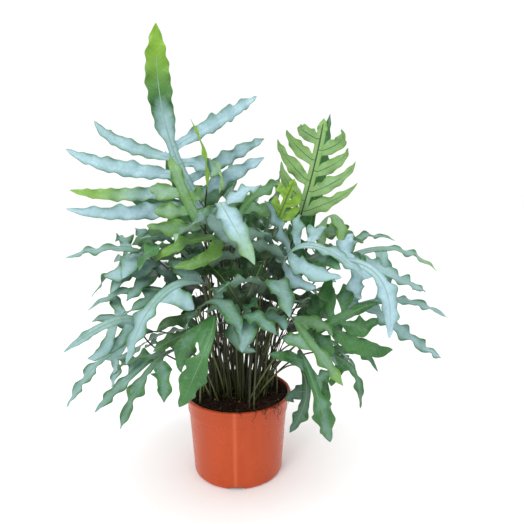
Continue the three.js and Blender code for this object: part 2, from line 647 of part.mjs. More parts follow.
// The triangles of a body made of sections. A ring holds the numbers of a section's left
// edge, top rib line, right edge and bottom rib line.
class Skin {
  positions = [];
  faces = [];

  place(point) {
    return this.positions.push(point.x, point.y, point.z) / 3 - 1;
  }

  ring({ left, top, right, bottom }) {
    return {
      left: this.place(left),
      top: this.place(top),
      right: this.place(right),
      bottom: this.place(bottom),
    };
  }

  rightSide(a, b) {
    this.faces.push(
      a.top, a.right, b.right, a.top, b.right, b.top,
      a.bottom, b.bottom, b.right, a.bottom, b.right, a.right,
    );
  }

  leftSide(a, b) {
    this.faces.push(
      a.left, a.top, b.left, a.top, b.top, b.left,
      a.left, b.left, a.bottom, b.left, b.bottom, a.bottom,
    );
  }

  // Flat ends: the one that a body starts with, and the one that it stops with
  start({ left, top, right, bottom }) {
    this.faces.push(left, right, top, left, bottom, right);
  }

  stop({ left, top, right, bottom }) {
    this.faces.push(left, top, right, left, right, bottom);
  }

  point(ring, tip) {
    this.faces.push(
      ring.left, ring.top, tip, ring.top, ring.right, tip,
      ring.bottom, tip, ring.right, ring.left, tip, ring.bottom,
    );
  }

  lobe(ring, { sections, tip }) {
    let last = ring;
    for (const part of sections) {
      const next = this.ring(part);
      this.rightSide(last, next);
      this.leftSide(last, next);
      last = next;
    }
    this.point(last, this.place(tip));
  }

  solid() {
    return new wasm.Manifold(new wasm.Mesh({
      numProp: 3,
      vertProperties: new Float32Array(this.positions),
      triVerts: new Uint32Array(this.faces),
    }));
  }
}

// The stem, the midrib and the end lobe. Each seat is a stretch of the blade's edge that a
// side lobe grows out of, and grow tells what to do with the ring of points round it.
function coreSolid(core, seats, grow) {
  const skin = new Skin();
  const rings = core.sections.map((part) => skin.ring(part));
  skin.start(rings[0]);
  for (let j = 0; j + 1 < rings.length; j++) {
    const [a, b] = [rings[j], rings[j + 1]];
    const seat = seats.find(({ slot }) => slot === j - core.zoneStart);
    if (!seat || seat.side < 0) {
      skin.rightSide(a, b);
    }
    if (!seat || seat.side > 0) {
      skin.leftSide(a, b);
    }
    if (seat) {
      const top = skin.place(seat.top);
      const bottom = skin.place(seat.bottom);
      if (seat.side > 0) {
        skin.faces.push(a.top, a.right, top, a.top, top, b.top, b.top, top, b.right);
        skin.faces.push(a.bottom, bottom, a.right, a.bottom, b.bottom, bottom);
        skin.faces.push(b.bottom, b.right, bottom);
        grow(skin, { left: b.right, top, right: a.right, bottom }, seat);
      } else {
        skin.faces.push(a.left, a.top, top, a.top, b.top, top, b.top, b.left, top);
        skin.faces.push(a.left, bottom, a.bottom, a.bottom, bottom, b.bottom);
        skin.faces.push(b.bottom, bottom, b.left);
        grow(skin, { left: a.left, top, right: b.left, bottom }, seat);
      }
    }
  }
  skin.point(rings[rings.length - 1], skin.place(core.tip));
  return skin.solid();
}

function lobeSolid(foot, sections, tip) {
  const skin = new Skin();
  const ring = skin.ring(foot);
  skin.start(ring);
  skin.lobe(ring, { sections, tip });
  return skin.solid();
}

const frondSolid = ({ core, lobes }) =>
  coreSolid(core, lobes.map(({ seat, ...lobe }) => ({ ...seat, ...lobe })),
    (skin, ring, lobe) => skin.lobe(ring, lobe));

// A plain body round a run of sections, spare millimetres larger all round, which is what
// the trials for clear space use. It has a box, to pass over what is far away.
function bodyOf(sections, tip, spare) {
  const loops = sections.map(({ frame, half, rib, lift }) => {
    const point = (across, above) => moved(moved(frame.at, frame.right, across), frame.up, above);
    return [
      point(-half - spare, lift[0] - spare),
      point(-half - spare, lift[0] + spare),
      point(0, rib + spare),
      point(half + spare, lift[1] + spare),
      point(half + spare, lift[1] - spare),
      point(0, -rib - spare),
    ];
  });
  const { right, up } = sections[sections.length - 1].frame;
  const corner = (across, above) => moved(moved(tip, right, across), up, above);
  const blunt = spare + 0.1;
  loops.push([
    corner(-blunt, -blunt), corner(-blunt, blunt), corner(0, blunt),
    corner(blunt, blunt), corner(blunt, -blunt), corner(0, -blunt),
  ]);
  const box = new THREE.Box3().setFromPoints(loops.flat());
  return { solid: loftOf(loops, [1, 4]), box };
}

const crosses = (body, others) => others.some((other) =>
  other.box.intersectsBox(body.box) && body.solid.intersect(other.solid).volume() > TOUCH);

// Ways in which a side lobe may be turned to pass its neighbours: lift and sweep
const LOBE_TURNS = [
  [0, 0], [0.15, 0], [-0.15, 0], [0, 0.2], [0, -0.2], [0.3, 0], [-0.3, 0], [0.2, 0.25],
  [-0.2, 0.25], [0.2, -0.25], [-0.2, -0.25], [0.5, 0], [-0.5, 0], [0.4, 0.4], [-0.4, 0.4],
  [0.75, 0], [-0.75, 0],
];
const LOBE_PULLS = [1, 0.85, 0.7];

// Whether the upper side of a lobe looks up from end to end, so that it has no fold: every
// face of it looks the way of the rib lines that it touches
function unfolded(foot, sections) {
  const parts = [foot, ...sections];
  const looksUp = (p, q, r, ...frames) => {
    const normal = q.clone().sub(p).cross(r.clone().sub(p));
    return frames.every(({ up }) => normal.dot(up) > 0);
  };
  return sections.every((b, i) => {
    const a = parts[i];
    return looksUp(a.left, a.top, b.left, a.frame) &&
      looksUp(a.top, b.top, b.left, a.frame, b.frame) &&
      looksUp(a.top, a.right, b.right, a.frame) &&
      looksUp(a.top, b.right, b.top, a.frame, b.frame);
  });
}

function placedLobe(row, traits, seat, lobe, taken, own) {
  const trait = traits.lobes[lobe];
  const tip = Array.isArray(row.lobes) ? vec(row.lobes[lobe]) : ruledTip(row, lobe, seat, trait.size);
  const base = Math.min(0.9, seat.gap / 2 / row.wide);
  const across = seat.ahead.clone().multiplyScalar(-seat.side);
  const foot = section({ at: seat.at, right: across, up: seat.up }, seat.gap / 2, RIB);
  for (const pull of LOBE_PULLS) {
    for (const turn of LOBE_TURNS) {
      const curve = lobeCurve(seat, tip, turn, pull);
      const sections = lobeSections(curve, row.wide * trait.size, base, trait.wave, trait.roll);
      if (!unfolded(seat.foot, sections)) {
        continue;
      }
      const end = curve.samples[CURVE_SAMPLES].at;
      const trial = bodyOf([foot, ...sections], end, CLEARANCE);
      const solid = lobeSolid(seat.foot, sections, end);
      const near = bodyOf(sections.slice(1), end, OWN_CLEARANCE);
      const clear = own.every(({ body, exact }) =>
        !crosses(near, [body]) && solid.intersect(exact).volume() < TOUCH);
      if (clear && !crosses(trial, taken)) {
        return { seat, sections, tip: end, body: bodyOf([foot, ...sections], end, 0), exact: solid };
      }
    }
  }
  return null;
}

// A frond bent clear of everything that stands already. Where the clump is too dense for
// that, later tries may leave out a lobe or two.
function placedFrond(row, seed, taken, peat) {
  const traits = traitsOf(row, seed);
  for (let nth = 0; nth <= LAST_TRY; nth++) {
    const spine = spineOf(row, seed, nth);
    const core = coreOf(row, traits, spine);
    const blade = bodyOf(core.sections.slice(core.zoneStart), core.tip, CLEARANCE);
    if (crosses(bodyOf(core.sections, core.tip, CLEARANCE), taken) || crosses(blade, [peat])) {
      continue;
    }
    const seats = core.slots.flatMap((slot, i) => (slot ? [lobeSeat(core, i)] : []));
    const exact = coreSolid(core, seats, (skin, ring) => skin.stop(ring));
    const own = [{ body: bodyOf(core.sections, core.tip, 0), exact }];
    seats.forEach((seat) => {
      const { lobe } = core.slots[seat.slot];
      const placed = placedLobe(row, traits, seat, lobe, [peat, ...taken], own);
      if (placed) {
        own.push(placed);
      }
    });
    const missing = seats.length + 1 - own.length;
    if (missing <= Math.ceil((nth - TRIES_FOR_ALL_LOBES) / TRIES_PER_LOBE_LEFT_OUT)) {
      taken.push(...own.map(({ body }) => body));
      return { row, core, lobes: own.slice(1), spine };
    }
  }
  return null;
}

// The plain hole that a stem stands in
function stemHole({ spine, core }) {
  const { root, growth } = spine;
  const { up, right } = core.sections[0].frame;
  const half = STEM_RADIUS + HOLE_GAP;
  const ends = [-HOLE_DEPTH, HOLE_RISE].map((far) => moved(root, growth, far));
  return loftOf(ends.map((end) => [
    moved(end, right, -half), moved(end, up, half), moved(end, right, half), moved(end, up, -half),
  ]));
}

// The rows of the fronds that follow the rule, once round one ring
function ruledRows(title, ring, levels) {
  const rows = [];
  for (let i = 0; i < ring.count; i++) {
    const level = levels[i % levels.length];
    const { jitter } = traitsOf({ lobes: 0 }, ring.firstSeed + i);
    const evenly = ring.from + ((ring.to - ring.from) * i) / (ring.count - 1);
    const around = radians(evenly + STRAY.around * jitter[0]);
    const twist = STRAY.twist * jitter[1];
    const line = level.out.map((out, j) => [
      out * Math.cos(around + twist * j),
      out * Math.sin(around + twist * j),
      level.height[j] + STRAY.height * jitter[2],
    ]);
    const { face } = RULED;
    rows.push({
      name: `${title}_${String(i + 1).padStart(2, "0")}`,
      line,
      face: [face.out * Math.cos(around), face.out * Math.sin(around), face.up],
      lobes: level.lobes,
      lobeLength: level.lobeLength,
      wide: level.wide,
      tipWide: level.wide * RULED.tipShare,
      firstSide: i % 2,
      stride: ring.spread,
    });
  }
  return rows;
}

function boxed(solid) {
  return { solid, box: new THREE.Box3().setFromObject(new THREE.Mesh(geometryOf(solid))) };
}

const pot = makePot();
const peatBody = makePeatBody();
const peat = boxed(peatBody);
const taken = [boxed(pot)];
const rows = [
  ...FRONT_FRONDS.map((row) => ({ stride: FRONT_STRIDE, ...row })),
  ...ruledRows("frond_back", BACK, LEVELS),
  ...ruledRows("frond_heart", HEART, HEART_LEVELS),
];
const fronds = [];
rows.forEach((row, i) => {
  const placed = placedFrond(row, i + 1, taken, peat);
  if (placed) {
    fronds.push(placed);
  }
});

const POT_FINISH = new THREE.MeshStandardMaterial({ color: 0xc85a32, roughness: 0.4, metalness: 0 });
const PEAT_FINISH = new THREE.MeshStandardMaterial({ color: 0x1c1613, roughness: 0.95, metalness: 0 });
const LEAF_FINISH = new THREE.MeshStandardMaterial({ color: 0x7fae9b, roughness: 0.55, metalness: 0 });

const plant = new THREE.Group();
function add(name, solid, material) {
  const mesh = new THREE.Mesh(geometryOf(solid), material);
  mesh.name = name;
  plant.add(mesh);
}
add("pot", pot, POT_FINISH);
add("peat", peatBody.subtract(wasm.Manifold.union(fronds.map(stemHole))), PEAT_FINISH);
fronds.forEach((frond) => add(frond.row.name, frondSolid(frond), LEAF_FINISH));

export default plant;
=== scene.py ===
# %% [markdown]
# A potted blue star fern, leaf by leaf.
# The plain solids of the pot, the peat and every frond come in as a fixed frame. Each of
# them gets a finer piece in its place: a smooth moulded pot, crumbly peat, and fronds whose
# lobes are thin rippled sheets with raised ribs. The small things that lie on the peat and the
# old stalks among the stems are added here. All work is in millimetres up to the moment when a
# mesh is made, because that is how a gardener measures a leaf.

import math

import bpy
import numpy as np
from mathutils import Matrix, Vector, noise


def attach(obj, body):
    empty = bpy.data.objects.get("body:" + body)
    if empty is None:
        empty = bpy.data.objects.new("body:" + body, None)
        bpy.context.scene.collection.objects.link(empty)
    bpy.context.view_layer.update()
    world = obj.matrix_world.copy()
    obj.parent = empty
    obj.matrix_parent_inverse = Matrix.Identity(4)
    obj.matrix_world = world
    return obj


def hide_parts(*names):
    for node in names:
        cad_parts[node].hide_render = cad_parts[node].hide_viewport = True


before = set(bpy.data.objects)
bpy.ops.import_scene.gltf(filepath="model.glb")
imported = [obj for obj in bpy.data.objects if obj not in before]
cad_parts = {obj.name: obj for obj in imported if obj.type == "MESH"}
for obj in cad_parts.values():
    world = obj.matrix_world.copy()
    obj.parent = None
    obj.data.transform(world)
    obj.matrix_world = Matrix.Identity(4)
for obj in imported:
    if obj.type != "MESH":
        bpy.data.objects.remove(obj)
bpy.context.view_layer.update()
MM = 0.001
print("nodes in the frame:", len(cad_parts))

# %% [markdown]
# The camera stands where the photographer stood: a little to the right of the pot's middle,
# 63 cm in front of it and 40 cm up, looking slightly down. A standard view transform keeps the
# white of the floor white and the greens as they are mixed.

# %% Camera
CAMERA_AT = (32, -630, 395)
CAMERA_PITCH = 10.3
CAMERA_LENS = 34.7
CAMERA_SENSOR = 36
CAMERA_NEAREST = 0.01

camera = bpy.data.objects.new("camera", bpy.data.cameras.new("camera"))
bpy.context.scene.collection.objects.link(camera)
camera.location = Vector(CAMERA_AT) * MM
camera.rotation_euler = (math.radians(90 - CAMERA_PITCH), 0, 0)
camera.data.lens = CAMERA_LENS
camera.data.sensor_width = CAMERA_SENSOR
camera.data.clip_start = CAMERA_NEAREST
bpy.context.scene.camera = camera
bpy.context.scene.view_settings.view_transform = "Standard"
print("camera at", tuple(round(value, 3) for value in camera.location))

# %% [markdown]
# The studio is a white floor under an even white sky, so bright that floor and sky are one.
# One large soft lamp stands in front, to the left and above, and gives the leaves a light and a
# dark side. A second one hangs overhead. Both are far larger than the pot, so that the shadows
# in the leaves stay soft. Places and widths of the studio are in metres.

# %% Studio
SKY_STRENGTH = 1.05
MIDDLE = (0, 0, 0.3)
FLOOR_HALF = 12

world = bpy.data.worlds.new("studio")
world.use_nodes = True
world.node_tree.nodes["Background"].inputs["Color"].default_value = (1, 1, 1, 1)
world.node_tree.nodes["Background"].inputs["Strength"].default_value = SKY_STRENGTH
bpy.context.scene.world = world


def soft_lamp(name, at, aim, width, watts):
    lamp = bpy.data.objects.new(name, bpy.data.lights.new(name, "AREA"))
    bpy.context.scene.collection.objects.link(lamp)
    lamp.data.shape = "SQUARE"
    lamp.data.size = width
    lamp.data.energy = watts
    lamp.location = at
    lamp.rotation_euler = (Vector(aim) - Vector(at)).to_track_quat("-Z", "Y").to_euler()
    print(name, "of", watts, "W at", at)


soft_lamp("key_lamp", at=(-0.75, -1.3, 1.25), aim=MIDDLE, width=0.7, watts=12)
soft_lamp("top_lamp", at=(0.2, -0.1, 1.9), aim=MIDDLE, width=1.2, watts=8)

floor_mesh = bpy.data.meshes.new("floor")
floor_corners = [(x * FLOOR_HALF, y * FLOOR_HALF, 0)
                 for x, y in ((-1, -1), (1, -1), (1, 1), (-1, 1))]
floor_mesh.from_pydata(floor_corners, [], [(0, 1, 2, 3)])
floor = bpy.data.objects.new("floor", floor_mesh)
bpy.context.scene.collection.objects.link(floor)

# %% [markdown]
# Every finish here is a small graph of nodes. It could be joined by hand in the shader editor,
# but a few helpers keep it readable as text: one makes a node and sets its inputs, one does a
# sum on numbers, one stretches a range of numbers to another, and one mixes two colours. The
# mixing node has sockets for numbers and vectors too, so its colour sockets go by number.

# %% Helpers for materials
MIX_SHARE = 0
MIX_FIRST = 6
MIX_SECOND = 7
MIXED_COLOUR = 2


class Finish:
    """A material with its main shader, and short ways to add nodes to it."""

    def __init__(self, name, roughness=0.5, specular=0.5):
        self.material = bpy.data.materials.new(name)
        self.material.use_nodes = True
        self.tree = self.material.node_tree
        self.shader = self.tree.nodes["Principled BSDF"]
        self.shader.inputs["Roughness"].default_value = roughness
        self.shader.inputs["Specular IOR Level"].default_value = specular
        print("finish", name)

    def node(self, kind, settings=None, **inputs):
        made = self.tree.nodes.new(kind)
        for key, value in (settings or {}).items():
            setattr(made, key, value)
        for key, value in inputs.items():
            self.feed(made.inputs[key.replace("_", " ")], value)
        return made

    def feed(self, socket, value):
        if isinstance(value, bpy.types.NodeSocket):
            self.tree.links.new(value, socket)
        else:
            socket.default_value = value

    def sum(self, operation, *values, clamp=False):
        made = self.tree.nodes.new("ShaderNodeMath")
        made.operation = operation
        made.use_clamp = clamp
        for socket, value in zip(made.inputs, values):
            self.feed(socket, value)
        return made.outputs[0]

    def mix(self, share, a, b, blend="MIX"):
        made = self.tree.nodes.new("ShaderNodeMix")
        made.data_type = "RGBA"
        made.blend_type = blend
        made.clamp_factor = True
        self.feed(made.inputs[MIX_SHARE], share)
        self.feed(made.inputs[MIX_FIRST], a)
        self.feed(made.inputs[MIX_SECOND], b)
        return made.outputs[MIXED_COLOUR]

    def ramp(self, value, start, end, low=0.0, high=1.0):
        """Low where the value is at start or before it, and high from end on."""
        made = self.node("ShaderNodeMapRange", Value=value, From_Min=start, From_Max=end,
                         To_Min=low, To_Max=high)
        return made.outputs[0]

    def attribute(self, name):
        return self.node("ShaderNodeAttribute", {"attribute_name": name}).outputs["Fac"]

    def place(self):
        return self.node("ShaderNodeTexCoord").outputs["Object"]

    def speckle(self, scale, detail=3.0, roughness=0.5):
        made = self.node("ShaderNodeTexNoise", Vector=self.place(), Scale=scale, Detail=detail,
                         Roughness=roughness)
        return made.outputs["Fac"]

    def bump(self, height, distance, strength=1.0):
        made = self.node("ShaderNodeBump", Height=height, Distance=distance, Strength=strength)
        self.feed(self.shader.inputs["Normal"], made.outputs["Normal"])

    def paint(self, colour):
        self.feed(self.shader.inputs["Base Color"], colour)


def shade(red, green, blue):
    """A colour as a painter names it, 0 to 255 a channel, made linear by the sRGB rule."""
    channels = [value / 255 for value in (red, green, blue)]
    linear = [c / 12.92 if c <= 0.04045 else ((c + 0.055) / 1.055) ** 2.4 for c in channels]
    return (*linear, 1)


print("a grey of 128 is", round(shade(128, 128, 128)[0], 3), "in linear light")

# %% [markdown]
# The floor is matt white card. A photographer's sweep would be curved up behind the plant, but
# under a white sky the far edge of a wide flat sheet can't be told from the sky, so it is flat.

# %% Floor finish
FLOOR_WHITE = (0.97, 0.97, 0.97, 1)
floor_finish = Finish("white_floor", roughness=0.6, specular=0.2)
floor_finish.paint(FLOOR_WHITE)
floor_mesh.materials.append(floor_finish.material)

# %% [markdown]
# Meshes are made from plain lists of points and faces. Points stay in millimetres in all the
# helpers, and become metres in this one place. The named values that belong to each point,
# such as how far along the leaf it lies, go in as attributes for the shaders to read. A piece
# that stands for nodes of the frame replaces them, and a small thing that the frame doesn't
# have only rides on the body.


# %% Helpers for meshes
def mesh_of(name, points, faces, attributes=None):
    mesh = bpy.data.meshes.new(name)
    mesh.from_pydata((np.asarray(points) * MM).tolist(), [], faces)
    for key, values in (attributes or {}).items():
        mesh.attributes.new(key, "FLOAT", "POINT").data.foreach_set(
            "value", np.asarray(values, np.float32))
    return mesh


def piece(name, mesh, nodes, finishes):
    """Shows a mesh as a piece of the plant, in the place of some nodes of the frame or of none."""
    thing = bpy.data.objects.new(name, mesh)
    bpy.context.scene.collection.objects.link(thing)
    for finish in finishes:
        mesh.materials.append(finish.material)
    mesh.polygons.foreach_set("use_smooth", [True] * len(mesh.polygons))
    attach(thing, "root")
    if nodes:
        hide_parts(*nodes)
    print("piece", name, "with", len(mesh.polygons), "faces")


def unit(vector):
    return vector / np.linalg.norm(vector, axis=-1, keepdims=True)


def ease(share):
    share = np.clip(share, 0, 1)
    return share * share * (3 - 2 * share)


def grid_faces(rows, columns, first=0, closed=False):
    """Quads between rows of points, numbered row by row."""
    faces = []
    for r in range(rows - 1):
        for c in range(columns if closed else columns - 1):
            a = first + r * columns + c
            b = first + r * columns + (c + 1) % columns
            faces.append((a, b, b + columns, a + columns))
    return faces


print("quads between 3 rows of 4 points:", len(grid_faces(3, 4)))

# %% [markdown]
# The pot is injection moulded, so it is round in every detail: a tapered wall, a collar that
# stands a little proud, a thick rolled lip, and a foot with a ring recess for drainage. Its
# outline is drawn once with rounded corners and turned round the middle. The notches in the
# foot and the drain holes are cut out of the turned shell, as the mould leaves them open.

# %% Sizes of the pot
LIP_RADIUS = 70
POT_HEIGHT = 109.5
LIP_UNDERSIDE = 105
COLLAR_RADIUS = 66.3
COLLAR_BOTTOM = 86.5
WALL_TOP_RADIUS = 64.3
HEEL_RADIUS = 58.6
HEEL_HEIGHT = 3
FOOT_RADIUS = 56
POT_WALL = 1.5
POT_FLOOR = 4.2
RECESS_INNER = 31
RECESS_OUTER = 47
RECESS_DEPTH = 2.5
RECESS_CHAMFER = 1.5
DRAIN_RADIUS = 4.5
NOTCH_BOTTOM = 24
NOTCH_TOP = 18
NOTCH_HEIGHT = 4.5
NOTCH_DEPTH = 14
TURN_STEPS = 168

print("pot:", 2 * LIP_RADIUS, "mm across its lip and", POT_HEIGHT, "mm high")

# %% [markdown]
# The outline runs from the middle of the foot outwards, up the outside, over the lip and down
# the inside to the middle of the floor. Its corners become short curves, because a mould has
# no sharp edges. A Screw modifier would turn it too, but here the points are turned by hand, so
# that the foot and the floor each close in a single middle point.

# %% Turned outline of the pot
EDGE_ROUNDING = 1.1
ROUNDED_SHARE = 0.45


def rounded(corners, radius, steps=4):
    """An outline whose inner corners are replaced by short curves."""
    points = [np.array(corners[0], float)]
    for before, corner, after in zip(corners, corners[1:], corners[2:]):
        before, corner, after = (np.array(p, float) for p in (before, corner, after))
        reach = min(radius, np.linalg.norm(before - corner) * ROUNDED_SHARE,
                    np.linalg.norm(after - corner) * ROUNDED_SHARE)
        start = corner + unit(before - corner) * reach
        end = corner + unit(after - corner) * reach
        for i in range(steps + 1):
            t = i / steps
            points.append((1 - t) ** 2 * start + 2 * t * (1 - t) * corner + t * t * end)
    points.append(np.array(corners[-1], float))
    return points


def turned(outline, steps):
    """A closed body: the outline starts and ends on the axis."""
    rings = outline[1:-1]
    angles = np.arange(steps) * 2 * math.pi / steps
    points = [(0, 0, outline[0][1])]
    for radius, height in rings:
        points += [(radius * math.cos(a), radius * math.sin(a), height) for a in angles]
    points.append((0, 0, outline[-1][1]))
    faces = grid_faces(len(rings), steps, first=1, closed=True)
    last = len(points) - 1
    for c in range(steps):
        after = (c + 1) % steps
        faces.append((0, 1 + after, 1 + c))
        faces.append((last, last - steps + c, last - steps + after))
    return points, faces


inner_collar = COLLAR_RADIUS - POT_WALL
inner_top = WALL_TOP_RADIUS - POT_WALL
inner_heel = HEEL_RADIUS - POT_WALL
pot_outline = rounded([
    (0, 0),
    (RECESS_INNER - RECESS_CHAMFER, 0),
    (RECESS_INNER, RECESS_DEPTH),
    (RECESS_OUTER, RECESS_DEPTH),
    (RECESS_OUTER + RECESS_CHAMFER, 0),
    (FOOT_RADIUS, 0),
    (HEEL_RADIUS, HEEL_HEIGHT),
    (WALL_TOP_RADIUS, COLLAR_BOTTOM - 0.3),
    (COLLAR_RADIUS - 0.5, COLLAR_BOTTOM + 0.6),
    (COLLAR_RADIUS, LIP_UNDERSIDE - 1.2),
    (LIP_RADIUS - 0.3, LIP_UNDERSIDE),
    (LIP_RADIUS, POT_HEIGHT - 1.2),
    (LIP_RADIUS - 1.4, POT_HEIGHT),
    (inner_collar + 1.2, POT_HEIGHT - 0.4),
    (inner_collar, LIP_UNDERSIDE - 2.5),
    (inner_top, COLLAR_BOTTOM),
    (inner_heel, POT_FLOOR + 1.6),
    (inner_heel - 1.6, POT_FLOOR),
    (0, POT_FLOOR),
], EDGE_ROUNDING)
pot_mesh = mesh_of("pot_shell", *turned(pot_outline, TURN_STEPS))
print("pot outline has", len(pot_outline), "points")

# %% [markdown]
# A Boolean cut needs solid cutters. Four short rods make the drain holes and four wedges make
# the notches, all in one cutter mesh, so that a single modifier cuts them at once. The modifier
# is applied at once, so what stays is a plain mesh. Wedges and rods reach past what they cut.

# %% Cut the notches and the drain holes
OPENINGS = 4
NOTCH_INWARD = 3
NOTCH_BELOW = -1
DRAIN_SPAN = (-5, 10)
DRAIN_SIDES = 20


def cutter_points():
    points = []
    faces = []
    for i in range(OPENINGS):
        turn = math.radians(360 / OPENINGS * i)
        cos, sin = math.cos(turn), math.sin(turn)
        front = -FOOT_RADIUS + NOTCH_DEPTH / 2 + NOTCH_INWARD
        wedge = []
        for y in (front - NOTCH_DEPTH, front):
            wedge += [(-NOTCH_BOTTOM / 2, y, NOTCH_BELOW), (NOTCH_BOTTOM / 2, y, NOTCH_BELOW),
                      (NOTCH_TOP / 2, y, NOTCH_HEIGHT), (-NOTCH_TOP / 2, y, NOTCH_HEIGHT)]
        base = len(points)
        points += [(x * cos - y * sin, x * sin + y * cos, z) for x, y, z in wedge]
        faces += [tuple(base + k for k in quad) for quad in (
            (0, 1, 2, 3), (7, 6, 5, 4), (0, 4, 5, 1), (1, 5, 6, 2), (2, 6, 7, 3), (3, 7, 4, 0))]
        hole = math.radians(180 / OPENINGS + 360 / OPENINGS * i)
        middle = (RECESS_INNER + RECESS_OUTER) / 2
        base = len(points)
        for z in DRAIN_SPAN:
            for k in range(DRAIN_SIDES):
                a = 2 * math.pi * k / DRAIN_SIDES
                points.append((middle * math.cos(hole) + DRAIN_RADIUS * math.cos(a),
                               middle * math.sin(hole) + DRAIN_RADIUS * math.sin(a), z))
        faces += grid_faces(2, DRAIN_SIDES, first=base, closed=True)
        faces.append(tuple(base + k for k in reversed(range(DRAIN_SIDES))))
        faces.append(tuple(base + DRAIN_SIDES + k for k in range(DRAIN_SIDES)))
    return points, faces


def cut(mesh, cutter_mesh):
    """The mesh with the cutter taken out of it, as a new plain mesh."""
    body = bpy.data.objects.new("body_to_cut", mesh)
    tool = bpy.data.objects.new("cutter", cutter_mesh)
    bpy.context.scene.collection.objects.link(body)
    bpy.context.scene.collection.objects.link(tool)
    modifier = body.modifiers.new("cut", "BOOLEAN")
    modifier.object = tool
    modifier.operation = "DIFFERENCE"
    modifier.solver = "EXACT"
    seen = bpy.context.evaluated_depsgraph_get()
    result = bpy.data.meshes.new_from_object(body.evaluated_get(seen))
    bpy.data.objects.remove(body)
    bpy.data.objects.remove(tool)
    return result


pot_cut = cut(pot_mesh, mesh_of("cutter", *cutter_points()))
pot_cut.name = "pot_shell_cut"
print("pot faces after the cut:", len(pot_cut.polygons))

# %% [markdown]
# Terracotta-orange polypropylene is smooth and glossy, yet never perfect: the colour drifts a
# little, faint flow marks run up the wall, and dust and scuffs dull the shine in patches. Noise
# stretched upwards gives the flow marks, and a second one varies the roughness. A paler upright
# band runs up the wall in front and behind. It is a painted highlight: the gloss of a lamp put
# into the colour. The shader knows it by the distance from the middle plane, so it needs no
# drawn texture.

# %% Pot finish
HIGHLIGHT_ASIDE = 0.001
HIGHLIGHT_WIDTH = 0.0035
HIGHLIGHT_SHOWS = 0.4
SHARPEST_SMOOTH = math.radians(32)

pot_finish = Finish("orange_plastic", roughness=0.24, specular=0.32)
stretch = pot_finish.node("ShaderNodeMapping", Vector=pot_finish.place(), Scale=(60, 60, 9))
flow = pot_finish.node("ShaderNodeTexNoise", Vector=stretch.outputs[0], Scale=1.0, Detail=3.0)
pot_colour = pot_finish.mix(flow.outputs["Fac"], shade(184, 72, 24), shade(170, 62, 20))
dust = pot_finish.ramp(pot_finish.speckle(24, 5.0, 0.6), 0.52, 0.8, 0.0, 0.1)
pot_colour = pot_finish.mix(dust, pot_colour, shade(214, 120, 80))
# Painted highlight: a paler upright band down the middle of the pot, in front and behind.
pot_axes = pot_finish.node("ShaderNodeSeparateXYZ", Vector=pot_finish.place())
from_highlight = pot_finish.sum("ADD", pot_axes.outputs["X"], HIGHLIGHT_ASIDE)
from_highlight = pot_finish.sum("ABSOLUTE", from_highlight)
painted_highlight = pot_finish.ramp(from_highlight, 0.0, HIGHLIGHT_WIDTH, HIGHLIGHT_SHOWS, 0.0)
pot_colour = pot_finish.mix(painted_highlight, pot_colour, shade(222, 116, 72))
pot_finish.paint(pot_colour)
scuffs = pot_finish.ramp(pot_finish.speckle(38, 6.0, 0.7), 0.35, 0.75, 0.24, 0.42)
pot_finish.feed(pot_finish.shader.inputs["Roughness"], scuffs)
pot_finish.bump(pot_finish.speckle(900, 2.0), 0.00005, 0.5)

piece("nursery_pot", pot_cut, ["pot"], [pot_finish])
pot_cut.set_sharp_from_angle(angle=SHARPEST_SMOOTH)

# %% [markdown]
# The peat is a low dark mound. Its surface is a fine round grid: the long swell of the mound
# comes from one formula, which the frame shares, and the crumbs from layers of noise on top. A
# low bank along the rim is the loose peat that potting pushes up there. A displaced plane would
# do as well, but a round grid follows the rim exactly and has no corners to cut away.

# %% Sizes of the peat
PEAT_GAP = 0.35
PEAT_EDGE_HEIGHT = 103.5
PEAT_CROWN_HEIGHT = 112.5
PEAT_RELIEF = 0.66
PEAT_RADIUS = COLLAR_RADIUS - POT_WALL - PEAT_GAP
PEAT_RINGS = 74
PEAT_SPOKES = 210
CRUMB = 1.3
RIM_BANK = 2.8
RIM_BANK_START = 0.84
RIM_BANK_REACH = 0.1

print("peat:", round(2 * PEAT_RADIUS, 1), "mm across")

# %% [markdown]
# The height of the mound is a formula of the place. With it every stem, root and crumb finds
# the surface that it stands or lies on. The finish is dark, dull and rough, with paler fibres.

# %% Peat surface
def peat_height(x, y):
    share = min(1, math.hypot(x, y) / (COLLAR_RADIUS - POT_WALL))
    mound = (PEAT_CROWN_HEIGHT - PEAT_EDGE_HEIGHT) * (1 - share ** 2.2)
    relief = math.sin(x * 0.21 + y * 0.13) + 0.7 * math.sin(y * 0.33 - x * 0.17 + 1)
    return PEAT_EDGE_HEIGHT + mound + PEAT_RELIEF * relief * (1 - share ** 6)


def crumbly(x, y):
    """Height of the crumbs over the smooth mound."""
    place = Vector((x, y, 0))
    coarse = noise.noise(place * 0.16)
    lumps = 1 - abs(noise.noise(place * 0.34 + Vector((7, 3, 1))))
    fine = noise.noise(place * 1.1)
    return CRUMB * (0.5 * coarse + 1.1 * (lumps - 0.75) + 0.35 * fine)


def rim_bank(x, y):
    """Height of the loose peat that is pushed up along the rim."""
    share = math.hypot(x, y) / PEAT_RADIUS
    return RIM_BANK * float(ease((share - RIM_BANK_START) / RIM_BANK_REACH))


